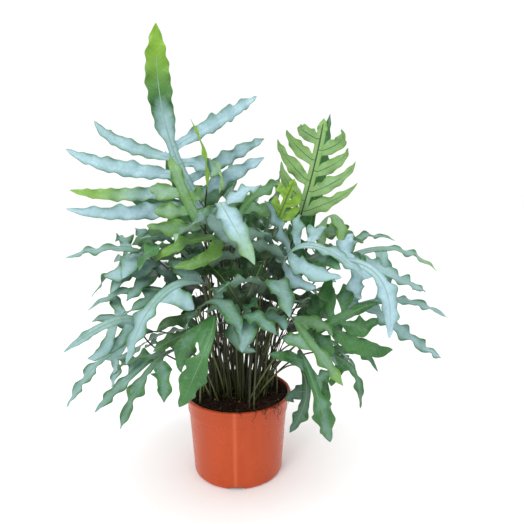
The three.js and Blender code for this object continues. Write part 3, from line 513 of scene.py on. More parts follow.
def peat_points():
    points = [(0, 0, peat_height(0, 0))]
    for r in range(1, PEAT_RINGS + 1):
        radius = PEAT_RADIUS * r / PEAT_RINGS
        for c in range(PEAT_SPOKES):
            a = 2 * math.pi * c / PEAT_SPOKES
            x, y = radius * math.cos(a), radius * math.sin(a)
            loose = crumbly(x, y) * (1 - (r / PEAT_RINGS) ** 20) + rim_bank(x, y)
            points.append((x, y, peat_height(x, y) + loose))
    bottom = POT_FLOOR + PEAT_GAP
    for radius, height in ((inner_top - PEAT_GAP, COLLAR_BOTTOM), (inner_heel - 2, bottom)):
        for c in range(PEAT_SPOKES):
            a = 2 * math.pi * c / PEAT_SPOKES
            points.append((radius * math.cos(a), radius * math.sin(a), height))
    points.append((0, 0, bottom))
    faces = grid_faces(PEAT_RINGS + 2, PEAT_SPOKES, first=1, closed=True)
    faces = [tuple(reversed(face)) for face in faces]
    last = len(points) - 1
    for c in range(PEAT_SPOKES):
        after = (c + 1) % PEAT_SPOKES
        faces.append((0, 1 + c, 1 + after))
        faces.append((last, last - PEAT_SPOKES + after, last - PEAT_SPOKES + c))
    return points, faces


peat_finish = Finish("dark_peat", roughness=0.95, specular=0.15)
peat_tone = peat_finish.speckle(420, 6.0, 0.7)
peat_light = peat_finish.ramp(peat_tone, 0.35, 0.7)
peat_colour = peat_finish.mix(peat_light, shade(14, 10, 8), shade(40, 29, 21))
fibres = peat_finish.ramp(peat_finish.speckle(900, 2.0), 0.66, 0.72)
peat_colour = peat_finish.mix(fibres, peat_colour, shade(112, 84, 56))
peat_finish.paint(peat_colour)
peat_finish.bump(peat_tone, 0.0012)
peat_mesh = mesh_of("peat_mound", *peat_points())
piece("peat_mound", peat_mesh, ["peat"], [peat_finish])
print("points of the peat:", len(peat_mesh.vertices))

# %% [markdown]
# Now the plant. A frond grows along a line: a stem out of the peat, then a midrib that carries
# the blade. The line is a Bezier curve, and what makes it a leaf is the second direction that
# is carried along it: which way the upper side looks. Together they give a frame at every
# point, with ahead, up and right, and every point of the blade is placed in such a frame.

# %% Curves with an upper side
CURVE_SAMPLES = 48


def bezier(control, share):
    points = [np.asarray(point, float) for point in control]
    while len(points) > 2:
        points = [a + (b - a) * share for a, b in zip(points, points[1:])]
    before, after = points
    return before + (after - before) * share, unit(after - before)


class Ribbon:
    """A curve whose upper side looks the way of face at the share faced_at of it."""

    def __init__(self, control, face, faced_at):
        samples = [bezier(control, i / CURVE_SAMPLES) for i in range(CURVE_SAMPLES + 1)]
        self.at = np.array([at for at, _ in samples])
        self.ahead = np.array([ahead for _, ahead in samples])
        self.up = np.zeros_like(self.at)
        first = round(faced_at * CURVE_SAMPLES)
        self.settle(first, np.asarray(face, float))
        for i in range(first + 1, CURVE_SAMPLES + 1):
            self.settle(i, self.up[i - 1])
        for i in range(first - 1, -1, -1):
            self.settle(i, self.up[i + 1])
        self.right = np.cross(self.ahead, self.up)
        steps = np.linalg.norm(np.diff(self.at, axis=0), axis=1)
        self.reach = np.concatenate([[0], np.cumsum(steps)])
        self.length = self.reach[-1]

    def settle(self, i, up):
        self.up[i] = unit(up - self.ahead[i] * up.dot(self.ahead[i]))

    def frames(self, shares):
        """Places, and the ways ahead, up and right, at shares of the curve's length."""
        reach = np.atleast_1d(shares) * self.length
        i = np.clip(np.searchsorted(self.reach, reach), 1, CURVE_SAMPLES)
        part = ((reach - self.reach[i - 1]) / (self.reach[i] - self.reach[i - 1]))[:, None]
        blend = lambda values: values[i - 1] + (values[i] - values[i - 1]) * part
        return (blend(self.at), unit(blend(self.ahead)), unit(blend(self.up)),
                unit(blend(self.right)))


trial_curve = Ribbon([(0, 0, 0), (0, 0, 100), (80, 0, 100)], (-1, 0, 0), 0)
print("a trial curve is", round(float(trial_curve.length), 1), "mm long")

# %% [markdown]
# These are the fronds that the front view shows, from the front to the back of the clump, in
# the same places as in the frame. line is the crown, the middle and the tip of the midrib, face
# is the way that the upper side looks halfway up, lobes are the tips of the side lobes from the
# crown upwards, wide is half the width of a side lobe and tip_wide that of the end lobe, and
# zone is the share of the midrib that carries side lobes. Few fronds need more: a fuller end
# with a waist and slim lobes on the tall one, and pointed lobes on the young one at the right.

# %% Fronds of the front
FRONT_FRONDS = [
    dict(name="frond_low_left", line=[[-20, -95, 240], [-25, -130, 215], [-55, -135, 150]],
         face=[-0.2, -0.7, 0.7], lobes=[[-55, -115, 180]], wide=9, tip_wide=15),
    dict(name="frond_low_right", line=[[75, -85, 195], [90, -105, 160], [110, -100, 90]],
         face=[0.3, -0.85, 0.45], lobes=[[40, -100, 195], [110, -100, 175]], wide=7, tip_wide=13),
    dict(name="frond_front", line=[[-5, -55, 335], [-10, -105, 360], [25, -150, 305]],
         face=[0, -0.5, 0.85], lobes=[[-60, -105, 320], [30, -45, 375]], wide=11, tip_wide=12.5),
    dict(name="frond_left_blue", line=[[-30, -85, 270], [-75, -110, 265], [-110, -130, 195]],
         face=[-0.3, -0.75, 0.6], lobes=[[-70, -75, 295], [-40, -115, 250]], wide=11,
         tip_wide=10.5),
    dict(name="frond_blue_drop", line=[[110, -50, 290], [160, -85, 280], [170, -105, 215]],
         face=[0.1, -0.85, 0.5], lobes=[[140, -30, 320], [145, -70, 250]], wide=9.5, tip_wide=11),
    dict(name="frond_blue_right", line=[[55, -60, 285], [85, -90, 315], [145, -100, 280]],
         face=[0, -0.5, 0.85],
         lobes=[[20, -50, 330], [90, -100, 270], [35, -35, 360], [115, -115, 285],
                [75, -45, 345], [105, -50, 330]],
         wide=9.5, tip_wide=9),
    dict(name="frond_tall", line=[[-40, 0, 350], [-80, -15, 440], [-85, -35, 555]],
         face=[0.15, -0.93, 0.33],
         lobes=[[-200, -30, 350], [35, -10, 410], [-205, -20, 370], [35, 40, 435],
                [-205, -5, 420], [-15, -70, 370], [-175, 15, 455], [25, 60, 490]],
         wide=11, tip_wide=15, zone=0.4, end_fullness=5, waist=0.16, slim=0.85),
    dict(name="frond_young_right", line=[[80, -5, 340], [95, -10, 400], [105, -15, 455]],
         face=[0.1, 0.93, 0.35],
         lobes=[[145, -25, 380], [55, -25, 405], [140, -35, 405], [50, -35, 430],
                [130, -40, 420], [60, -40, 440], [120, -50, 440], [75, -45, 445]],
         wide=8.5, tip_wide=6, zone=0.85, pointed=True),
    dict(name="frond_small_young", line=[[50, -30, 335], [60, -30, 360], [70, -35, 385]],
         face=[0, -0.95, 0.3],
         lobes=[[75, -25, 355], [50, -20, 365], [75, -20, 370], [55, -15, 380]],
         wide=5.5, tip_wide=5, zone=0.7),
    dict(name="frond_young_left", line=[[-35, -60, 330], [-50, -65, 360], [-70, -60, 410]],
         face=[0.1, -0.95, 0.3],
         lobes=[[-95, -75, 335], [-20, -55, 345], [-90, -60, 350], [-35, -45, 370],
                [-95, -50, 375]],
         wide=9.5, tip_wide=7.5, zone=0.6),
    dict(name="frond_right_mid", line=[[90, -70, 205], [125, -85, 230], [160, -90, 245]],
         face=[-0.1, -0.85, 0.5],
         lobes=[[120, -80, 195], [95, -45, 250], [180, -85, 195], [115, -35, 270],
                [160, -70, 220], [140, -45, 260]],
         wide=11, tip_wide=6, zone=0.6),
    dict(name="frond_mid_yellow", line=[[-10, -55, 320], [-45, -90, 320], [-80, -100, 300]],
         face=[0, -0.6, 0.8], lobes=[[-65, -85, 285], [-50, -50, 350]], wide=8.5, tip_wide=8),
    dict(name="frond_left_star", line=[[-110, -60, 210], [-135, -70, 225], [-195, -80, 190]],
         face=[0, -0.9, 0.4],
         lobes=[[-100, -45, 245], [-155, -70, 185], [-150, -45, 250], [-170, -75, 180]],
         wide=7, tip_wide=5.5),
    dict(name="frond_right_front", line=[[65, -90, 235], [90, -110, 205], [120, -115, 165]],
         face=[0.4, -0.7, 0.6], lobes=[[110, -95, 215], [55, -110, 220]], wide=8.5, tip_wide=9),
    dict(name="frond_left_top", line=[[-90, -25, 285], [-135, -35, 305], [-200, -40, 295]],
         face=[0, -0.4, 0.9],
         lobes=[[-150, -60, 275], [-125, -10, 325], [-125, -75, 275], [-145, -10, 315]],
         wide=11, tip_wide=8),
    dict(name="frond_small_left", line=[[-35, -75, 245], [-10, -110, 255], [10, -120, 225]],
         face=[0, -0.6, 0.8], lobes=[[-50, -105, 225], [-10, -80, 270]], wide=8.5, tip_wide=10),
    dict(name="frond_small_mid", line=[[0, -75, 225], [25, -110, 240], [50, -125, 225]],
         face=[0, -0.6, 0.8], lobes=[[25, -105, 200], [30, -85, 255]], wide=8.5, tip_wide=9),
    dict(name="frond_left_low", line=[[-105, -20, 195], [-160, -30, 170], [-215, -35, 100]],
         face=[-0.2, -0.6, 0.75], lobes=[[-185, -10, 205], [-155, -40, 130]], wide=7,
         tip_wide=9),
    dict(name="frond_left_under", line=[[-85, -45, 185], [-120, -60, 160], [-170, -60, 110]],
         face=[-0.3, -0.7, 0.6], lobes=[[-95, -60, 160], [-145, -45, 170]], wide=7, tip_wide=8),
    dict(name="frond_left_green", line=[[-35, -70, 215], [-60, -80, 210], [-90, -90, 195]],
         face=[-0.1, -0.7, 0.7], lobes=[[-90, -70, 210], [-55, -90, 180]], wide=8.5, tip_wide=9),
    dict(name="frond_left_arc", line=[[-55, -50, 240], [-110, -60, 260], [-170, -65, 235]],
         face=[0, -0.5, 0.87], lobes=[[-100, -40, 280], [-125, -85, 235]], wide=7, tip_wide=6),
    dict(name="frond_right_under", line=[[105, -35, 175], [140, -50, 160], [150, -60, 115]],
         face=[0.4, -0.6, 0.7], lobes=[[175, -40, 150], [115, -60, 140]], wide=7, tip_wide=7),
    dict(name="frond_right_back_low", line=[[80, -45, 155], [85, -60, 125], [65, -70, 85]],
         face=[0.3, -0.85, 0.4], lobes=[[110, -60, 115], [60, -70, 125]], wide=8.5, tip_wide=9),
    dict(name="frond_right_top", line=[[95, 0, 310], [120, -10, 340], [130, -35, 305]],
         face=[0.3, -0.6, 0.75], lobes=[[160, 0, 305], [105, -35, 300]], wide=8.5, tip_wide=8),
    dict(name="frond_mid_heart", line=[[40, -25, 285], [30, -45, 260], [20, -50, 235]],
         face=[0, -0.8, 0.6], lobes=[[10, -35, 260], [55, -50, 255]], wide=9.5, tip_wide=11),
    dict(name="frond_mid_green", line=[[-35, -35, 285], [-15, -55, 270], [5, -65, 240]],
         face=[0, -0.8, 0.6], lobes=[[-50, -50, 280], [10, -50, 275]], wide=11, tip_wide=12),
    dict(name="frond_right_far", line=[[130, 25, 275], [195, 30, 290], [255, 30, 260]],
         face=[0, -0.4, 0.9], lobes=[[215, 60, 300], [245, 10, 240], [175, 0, 235]],
         wide=9.5, tip_wide=8),
    dict(name="frond_right_low", line=[[140, 0, 215], [210, 5, 230], [280, 10, 205]],
         face=[0, -0.5, 0.87], lobes=[[165, 30, 245], [260, -20, 160], [210, 30, 250]],
         wide=9.5, tip_wide=7.5),
    dict(name="frond_erect_right", line=[[95, 35, 305], [105, 30, 385], [120, 30, 465]],
         face=[0.1, -0.9, 0.35], lobes=[[150, 50, 320], [65, 45, 340]], wide=11, tip_wide=12,
         zone=0.2),
    dict(name="frond_centre_up", line=[[0, -10, 325], [20, 0, 360], [60, 5, 380]],
         face=[-0.3, -0.6, 0.75], lobes=[[-10, 0, 395], [75, -20, 355]], wide=11, tip_wide=12),
    dict(name="frond_curl", line=[[-30, -30, 370], [-30, -30, 410], [-45, -30, 450]],
         face=[-0.8, -0.5, 0.2], lobes=[], wide=3.5, tip_wide=4),
]
print("fronds placed by hand:", len(FRONT_FRONDS))

# %% [markdown]
# The back, the sides and the heart of the clump are filled by a rule. Fronds follow each other
# round a ring and take three levels in turn. Small seeded strays keep the ring from looking
# counted. The seeded draws are the same as in the frame, so the leaves come out the same.

# %% Fronds that follow a rule
LEVELS = [
    dict(out=[75, 125, 175], height=[255, 285, 245], lobes=5, lobe_length=80, wide=11),
    dict(out=[70, 115, 165], height=[180, 175, 120], lobes=4, lobe_length=70, wide=10),
    dict(out=[35, 60, 80], height=[300, 355, 405], lobes=5, lobe_length=80, wide=11),
]
HEART_LEVELS = [
    dict(out=[22, 55, 88], height=[285, 320, 300], lobes=4, lobe_length=60, wide=11),
    dict(out=[38, 70, 104], height=[225, 250, 225], lobes=4, lobe_length=58, wide=11),
    dict(out=[12, 32, 58], height=[305, 338, 348], lobes=4, lobe_length=62, wide=11),
]
BACK = dict(title="frond_back", count=11, start=-10, end=208, spread=5, first_seed=500)
HEART = dict(title="frond_heart", count=15, start=8, end=340, spread=6, first_seed=720)
STRAY_AROUND = 14
STRAY_TWIST = 0.25
STRAY_HEIGHT = 24
FRONT_STRIDE = 2.5
RULED_FACE_OUT = 0.5
RULED_FACE_UP = 0.87
RULED_TIP_WIDER = 1.2
LOBE_ROLL = 0.9
LOBE_SMALLEST = 0.9
LOBE_SPREAD = 0.2


def seeded(seed):
    """An endless even spread of numbers from 0 to 1, the same in every run."""
    state = seed % 2 ** 32
    while True:
        state = (state * 1664525 + 1013904223) % 2 ** 32
        yield state / 2 ** 32


def traits_of(lobe_count, seed):
    """The random traits of a frond, drawn in one fixed order."""
    draws = seeded(seed * 7919 + 17)
    sign = lambda: -1 if next(draws) < 0.5 else 1
    tip_wave = (sign(), sign())
    jitter = [next(draws) - 0.5 for _ in range(3)]
    lobes = []
    for _ in range(lobe_count):
        wave = (sign(), sign())
        roll = (next(draws) - 0.5) * LOBE_ROLL
        lobes.append(dict(wave=wave, roll=roll, size=LOBE_SMALLEST + LOBE_SPREAD * next(draws)))
    return dict(tip_wave=tip_wave, jitter=jitter, lobes=lobes)


def ruled_rows(ring, levels):
    rows = []
    for i in range(ring["count"]):
        level = levels[i % len(levels)]
        jitter = traits_of(0, ring["first_seed"] + i)["jitter"]
        evenly = ring["start"] + (ring["end"] - ring["start"]) * i / (ring["count"] - 1)
        around = math.radians(evenly + STRAY_AROUND * jitter[0])
        twist = STRAY_TWIST * jitter[1]
        line = [[out * math.cos(around + twist * j), out * math.sin(around + twist * j),
                 height + STRAY_HEIGHT * jitter[2]]
                for j, (out, height) in enumerate(zip(level["out"], level["height"]))]
        rows.append(dict(
            name=f"{ring['title']}_{i + 1:02d}", line=line,
            face=[RULED_FACE_OUT * math.cos(around), RULED_FACE_OUT * math.sin(around),
                  RULED_FACE_UP],
            lobes=level["lobes"], lobe_length=level["lobe_length"], wide=level["wide"],
            tip_wide=level["wide"] * RULED_TIP_WIDER, first_side=i % 2, stride=ring["spread"]))
    return rows


rows = [dict(row, stride=FRONT_STRIDE) for row in FRONT_FRONDS]
rows += ruled_rows(BACK, LEVELS) + ruled_rows(HEART, HEART_LEVELS)
print("fronds in all:", len(rows))

# %% [markdown]
# In the frame, a frond that met a neighbour was bent aside in small tries along a spiral, and a
# lobe was turned or shortened. To stand in the same place here, each try is worked out again,
# and the one whose tip is a corner of the frame's own solid is the right one. Reading the
# places out of the frame's mesh would be harder, because its corners have no names.

# %% Tries of a frond
GOLDEN_TURN = 2.4
RISE_TURN = 1.7
RISE_SHARE = 0.6
LAST_TRY = 220
ASIDE = dict(root=0.5, crown=0.6, middle=0.8, tip=1)
STEM_RADIUS = 1.4
STEM_LEAN = 0.5
STEM_LEAN_SHARE = 0.6
STEM_RISE = 0.4
STEM_ARRIVAL = 0.3
ROOTS = dict(outer=42, inner=16, low_crown=150, high_crown=350, scatter=5, turn=0.5,
             scatter_stride=3.7, turn_stride=5.1)
SAME_POINT = 0.05


def bent(nth, stride):
    far = stride * math.sqrt(nth)
    return np.array([far * math.cos(GOLDEN_TURN * nth), far * math.sin(GOLDEN_TURN * nth),
                     RISE_SHARE * far * math.cos(RISE_TURN * nth)])


def root_of(crown, seed):
    around = math.atan2(crown[1], crown[0]) + ROOTS["turn"] * math.sin(seed * ROOTS["turn_stride"])
    level = (crown[2] - ROOTS["low_crown"]) / (ROOTS["high_crown"] - ROOTS["low_crown"])
    evenly = ROOTS["outer"] + (ROOTS["inner"] - ROOTS["outer"]) * min(1, max(0, level))
    out = evenly + ROOTS["scatter"] * math.sin(seed * ROOTS["scatter_stride"])
    return np.array([out * math.cos(around), out * math.sin(around), 0])


def spine_of(row, seed, nth):
    """The stem and the midrib of a frond on its nth try."""
    aside = bent(nth, row["stride"])
    line = [np.array(point, float) for point in row["line"]]
    crown = line[0] + aside * ASIDE["crown"]
    middle = line[1] + aside * ASIDE["middle"]
    tip = line[2] + aside * ASIDE["tip"]
    root = root_of(line[0], seed) + aside * (1, 1, 0) * ASIDE["root"]
    root[2] = peat_height(root[0], root[1])
    bend = middle * 2 - (crown + tip) / 2
    rachis = Ribbon([crown, bend, tip], row["face"], 0.5)
    rise = crown - root
    length = np.linalg.norm(rise)
    flat = math.hypot(rise[0], rise[1])
    lean = min(STEM_LEAN, STEM_LEAN_SHARE * flat / rise[2]) / max(flat, 1)
    growth = unit(np.array([rise[0] * lean, rise[1] * lean, 1]))
    stem = Ribbon([root, root + growth * STEM_RISE * length,
                   crown - rachis.ahead[0] * STEM_ARRIVAL * length, crown], rachis.up[0], 1)
    return dict(root=root, growth=growth, stem=stem, rachis=rachis)


def corners_of(name):
    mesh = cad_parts[name].data
    corners = np.zeros(len(mesh.vertices) * 3)
    mesh.vertices.foreach_get("co", corners)
    return corners.reshape(-1, 3) / MM


def distance_to(corners, point):
    return np.linalg.norm(corners - point, axis=1).min()


def right_try(row, corners):
    tip = np.array(row["line"][2], float)
    gaps = [distance_to(corners, tip + bent(nth, row["stride"])) for nth in range(LAST_TRY + 1)]
    best = int(np.argmin(gaps))
    return best, gaps[best]


farthest = float(np.linalg.norm(bent(LAST_TRY, FRONT_STRIDE)))
print("the last try of a front frond is", round(farthest, 1), "mm aside")

# %% [markdown]
# Side lobes leave the midrib by turns to the left and the right. The lower part of the midrib
# is divided into equal stretches, one for each lobe, and where two lobes on one side follow
# each other a bare stretch lies between them. A lobe's seat is the edge of its stretch. From
# there its middle line runs to its tip, first outwards and then bent over.

# %% Seats and tips of the lobes
WING = 5.5
WING_NEEDS_LOBES = 8
BARE_START = 0.04
BACK_ZONE = 0.45
LOBE_TURNS = [
    (0, 0), (0.15, 0), (-0.15, 0), (0, 0.2), (0, -0.2), (0.3, 0), (-0.3, 0), (0.2, 0.25),
    (-0.2, 0.25), (0.2, -0.25), (-0.2, -0.25), (0.5, 0), (-0.5, 0), (0.4, 0.4), (-0.4, 0.4),
    (0.75, 0), (-0.75, 0),
]
LOBE_PULLS = [1, 0.85, 0.7]
LOBE_ARCH = 0.1
LOBE_SWEEP_BACK = 0.05
LOBE_LEAST_OUTWARD = 0.6
LOBE_SIDE_SEEN_AT = 0.2
RULED_LEAST_LENGTH = 0.8
RULED_MORE_LENGTH = 0.3
LOW_SPLAY = 84
SPLAY_FALL = 34
DROOP = 0.18
UP = np.array([0.0, 0.0, 1.0])


def by_rule(row):
    return not isinstance(row["lobes"], list)


def lobe_count(row):
    return row["lobes"] if by_rule(row) else len(row["lobes"])


def side_of(row, lobe, rachis):
    if by_rule(row):
        return 1 if (lobe + row["first_side"]) % 2 == 0 else -1
    at, _, _, right = rachis.frames(LOBE_SIDE_SEEN_AT)
    return 1 if (np.array(row["lobes"][lobe]) - at[0]).dot(right[0]) > 0 else -1


def slots_of(row, rachis):
    """The stretches of midrib in order: the lobe and side of each, or nothing if bare."""
    slots = []
    last = 0
    for lobe in range(lobe_count(row)):
        side = side_of(row, lobe, rachis)
        if side == last:
            slots.append(None)
        slots.append((lobe, side))
        last = side
    return slots


def seat_of(row, rachis, slots, slot, zone):
    """Where a lobe starts, and the ways up, ahead and out of the midrib there."""
    side = slots[slot][1]
    at, ahead, up, right = rachis.frames(np.array([slot, slot + 1]) * zone / len(slots))
    wing = WING * min(1, row["wide"] / WING_NEEDS_LOBES)
    halves = np.array([[STEM_RADIUS if slot == 0 else wing], [wing]])
    edges = at + right * halves * side
    return dict(at=edges.mean(axis=0), gap=np.linalg.norm(edges[1] - edges[0]), up=up[1],
                ahead=ahead[1], out=right[1] * side)


def ruled_tip(row, lobe, seat, size):
    share = lobe / max(1, row["lobes"] - 1)
    splay = math.radians(LOW_SPLAY - SPLAY_FALL * share)
    fuller = RULED_LEAST_LENGTH + RULED_MORE_LENGTH * math.sin(math.pi * share)
    length = row["lobe_length"] * size * fuller
    along = seat["out"] * math.sin(splay) + seat["ahead"] * math.cos(splay)
    return seat["at"] + along * length - UP * DROOP * length


def lobe_curve(seat, tip, turn, pull):
    lift, sweep = turn
    chord = tip - seat["at"]
    length = np.linalg.norm(chord)
    way = unit(chord + seat["up"] * lift * length + seat["ahead"] * sweep * length)
    end = seat["at"] + way * length * pull
    bend = (seat["at"] + end) / 2 + (seat["up"] + UP) * LOBE_ARCH * length
    bend = bend - seat["ahead"] * LOBE_SWEEP_BACK * length
    outward = (bend - seat["at"]).dot(seat["out"])
    bend = bend + seat["out"] * max(0, LOBE_LEAST_OUTWARD * length - outward)
    return Ribbon([seat["at"], bend, end], seat["up"], 0)


def right_curve(seat, tip, corners):
    """The curve of a lobe as the frame has it, or nothing where the frame left it out."""
    chord = tip - seat["at"]
    length = np.linalg.norm(chord)
    best = None
    nearest = SAME_POINT
    for pull in LOBE_PULLS:
        for lift, sweep in LOBE_TURNS:
            way = unit(chord + seat["up"] * lift * length + seat["ahead"] * sweep * length)
            gap = distance_to(corners, seat["at"] + way * length * pull)
            if gap < nearest:
                nearest = gap
                best = ((lift, sweep), pull)
    return best and lobe_curve(seat, tip, *best)


print("turns and lengths that a lobe may have:", len(LOBE_TURNS) * len(LOBE_PULLS))

# %% [markdown]
# The blade is one sheet. First comes a loose cage of quads: rows along the midrib, with the
# cage of every side lobe sewn to the edge that it grows from, so they share their points. A
# subdivision then rounds the cage into one soft surface with round bays between the lobes,
# which is how the living blade looks.

# %% Cage of a blade
CORE_COLUMNS = np.linspace(-1, 1, 9)
LOBE_COLUMNS = np.linspace(-1, 1, 7)
ROWS_PER_SLOT = len(LOBE_COLUMNS) - 1
ROWS_PER_WAVE = 4
THINNEST = 0.25
SHEET_VALUES = ["along", "across", "edge", "veined", "bloom", "youth"]


class Cage:
    """Points, quads and named values of a blade's sheet, collected part by part."""

    def __init__(self):
        self.points = []
        self.faces = []
        self.values = {key: [] for key in SHEET_VALUES}

    def add(self, points, **values):
        first = len(self.points)
        self.points.extend(points)
        for key, value in values.items():
            self.values[key].extend(np.broadcast_to(value, len(points)).tolist())
        return np.arange(first, len(self.points))

    def sew(self, grid):
        """Quads over a grid of point numbers."""
        for a, b in zip(grid, grid[1:]):
            for c in range(len(a) - 1):
                self.faces.append((int(a[c]), int(a[c + 1]), int(b[c + 1]), int(b[c])))


print("columns of quads: core", len(CORE_COLUMNS) - 1, "and lobe", len(LOBE_COLUMNS) - 1)

# %% [markdown]
# The margin of this fern is wavy. Its ripple is a wave along the edge that dies out towards the
# rib, with a weaker, quicker crinkle on top. The margin also swings in and out, on each side in
# its own time. Noise could make such a ripple, but waves that are counted along the edge match
# the frame, which has the same ones.

# %% Ripple of the margin
WAVE_STEP = 13
WAVE_HEIGHT = 4
WAVE_NEEDS_HALF_WIDTH = 9
FOLD = 0.14
CRINKLE = 1.9
CRINKLE_STEP = 15
CRINKLE_SIDES_APART = 2
SCALLOP = 1.5
SCALLOP_STEP = 16
QUICK_SCALLOP = 0.75
SLOW_SCALLOP = 0.5
SLOW_PACE = 0.61
SCALLOP_SIDES_APART = 2.2


def margin_height(columns, half, waves, wave, reach, phase):
    """How high each column of a row stands over the rib."""
    calm = min(1, half / WAVE_NEEDS_HALF_WIDTH)
    signs = np.where(columns < 0, wave[0], wave[1])
    swing = signs * math.cos(math.pi * waves) * WAVE_HEIGHT * calm
    turns = 2 * math.pi * reach / CRINKLE_STEP + phase + CRINKLE_SIDES_APART * signs
    crinkle = CRINKLE * calm * np.sin(turns)
    return FOLD * half * np.abs(columns) + swing * columns ** 2 + crinkle * columns ** 4


def scalloped(columns, half, reach, phase):
    """How far from the rib each column lies: the margin swings in and out on each side."""
    swing = SCALLOP * min(1, half / WAVE_NEEDS_HALF_WIDTH)
    sides = SCALLOP_SIDES_APART * np.sign(columns)
    turns = 2 * math.pi * reach / SCALLOP_STEP + phase + sides
    uneven = QUICK_SCALLOP * np.sin(turns) + SLOW_SCALLOP * np.sin(SLOW_PACE * turns + 2 * phase)
    return columns * half + columns ** 3 * swing * uneven


def between(first, last, share, start, reach):
    """From first to last, eased over the reach that begins at start."""
    return first + (last - first) * float(ease((share - start) / reach))


def limited(value, low, high):
    return min(high, max(low, value))


def whole(value):
    """The nearest whole number, with halves rounded up as in the frame."""
    return math.floor(value + 0.5)


trial_margin = margin_height(LOBE_COLUMNS, half=10, waves=2, wave=(1, 1), reach=0, phase=0)
print("a margin stands up to", round(float(trial_margin.max()), 1), "mm over its rib")

# %% [markdown]
# The core of a blade is the narrow wing along the midrib, which opens into the end lobe. Rows
# are close enough for the waves of the margin, and as many in each stretch as a side lobe has
# columns, so that the lobe can be sewn on.

# %% Wing of the midrib and end lobe
FEWEST_WAVES = 4
MOST_END_WAVES = 12
END_FULLNESS = 3
END_TAPER = 0.9
END_START = 0.5
END_OPENS = 2
END_VEINS_AFTER = 2
WAIST_AT = 0.3
WAIST_REACH = 0.12
EDGE_NEEDS_HALF_WIDTH = 6
END_BLOOM = dict(start=0.1, reach=0.4)
END_YOUTH = dict(start=0.35, reach=0.5)


def core_cage(cage, row, traits, rachis, slots, zone, look):
    """The strip along the midrib and the end lobe. Returns the point numbers, row by row."""
    wing = WING * min(1, row["wide"] / WING_NEEDS_LOBES)
    intervals = max(1, len(slots))
    steps = limited(whole(rachis.length * (1 - zone) / WAVE_STEP), FEWEST_WAVES, MOST_END_WAVES)
    in_zone = np.arange(intervals * ROWS_PER_SLOT + 1) / ROWS_PER_SLOT
    shares = list(zone * in_zone / intervals)
    end_rows = steps * ROWS_PER_WAVE
    shares += [zone + (1 - zone) * k / end_rows for k in range(1, end_rows + 1)]
    grid = []
    frames = zip(shares, *rachis.frames(np.array(shares)))
    for share, at, ahead, up, right in frames:
        end_share = max(0, (share - zone) / (1 - zone))
        waves = end_share * steps
        if end_share == 0:
            slot_share = share / zone * intervals
            half = STEM_RADIUS + (wing - STEM_RADIUS) * float(ease(slot_share))
            height = np.zeros(len(CORE_COLUMNS))
        else:
            taper = (1 - end_share ** row.get("end_fullness", END_FULLNESS)) ** END_TAPER
            half = row["tip_wide"] * min(1, END_START + END_OPENS * end_share) * taper
            from_waist = (end_share - WAIST_AT) / WAIST_REACH
            half *= 1 - row.get("waist", 0) * math.exp(-from_waist ** 2)
            opened = float(ease(waves))
            half = wing + (half - wing) * opened
            height = opened * margin_height(CORE_COLUMNS, half, waves, traits["tip_wave"],
                                            share * rachis.length, row["phase"])
        half = max(THINNEST, half)
        reach = share * rachis.length
        across = CORE_COLUMNS * half
        if waves > 1:
            across = scalloped(CORE_COLUMNS, half, reach, row["phase"])
        points = at + np.outer(across, right) + np.outer(height, up)
        grid.append(cage.add(
            points, along=reach, across=CORE_COLUMNS * half,
            edge=np.abs(CORE_COLUMNS) * min(1, half / EDGE_NEEDS_HALF_WIDTH),
            veined=float(ease(waves / END_VEINS_AFTER)),
            bloom=between(look["bloom"], look["tip_bloom"], end_share, **END_BLOOM),
            youth=between(look["youth"], look["tip_youth"], end_share, **END_YOUTH)))
    cage.sew(grid)
    return grid


print("waves along an end lobe:", FEWEST_WAVES, "to", MOST_END_WAVES)

# %% [markdown]
# A side lobe starts as wide as its stretch of the midrib, opens out, and narrows to a blunt or
# a pointed tip. Its first rows blend from the edge that they are sewn to into the lobe's own
# direction, so that no crease shows where the two meet.

# %% Side lobes
MOST_LOBE_WAVES = 10
WAVE_NARROWS = 0.12
LOBE_OPENS_OVER = 0.35
LOBE_FULLNESS = 3.4
LOBE_TAPER = 0.75
LOBE_VEINS_AFTER = 1.5
WIDEST_BASE = 0.9
POINTED_BASE = 1.3
POINTED_POWER = 0.8
LOBE_BLOOM_SPREAD = 0.16
LOBE_BLOOM = dict(start=0, reach=0.3)
LOBE_YOUTH = dict(start=0.2, reach=0.6)


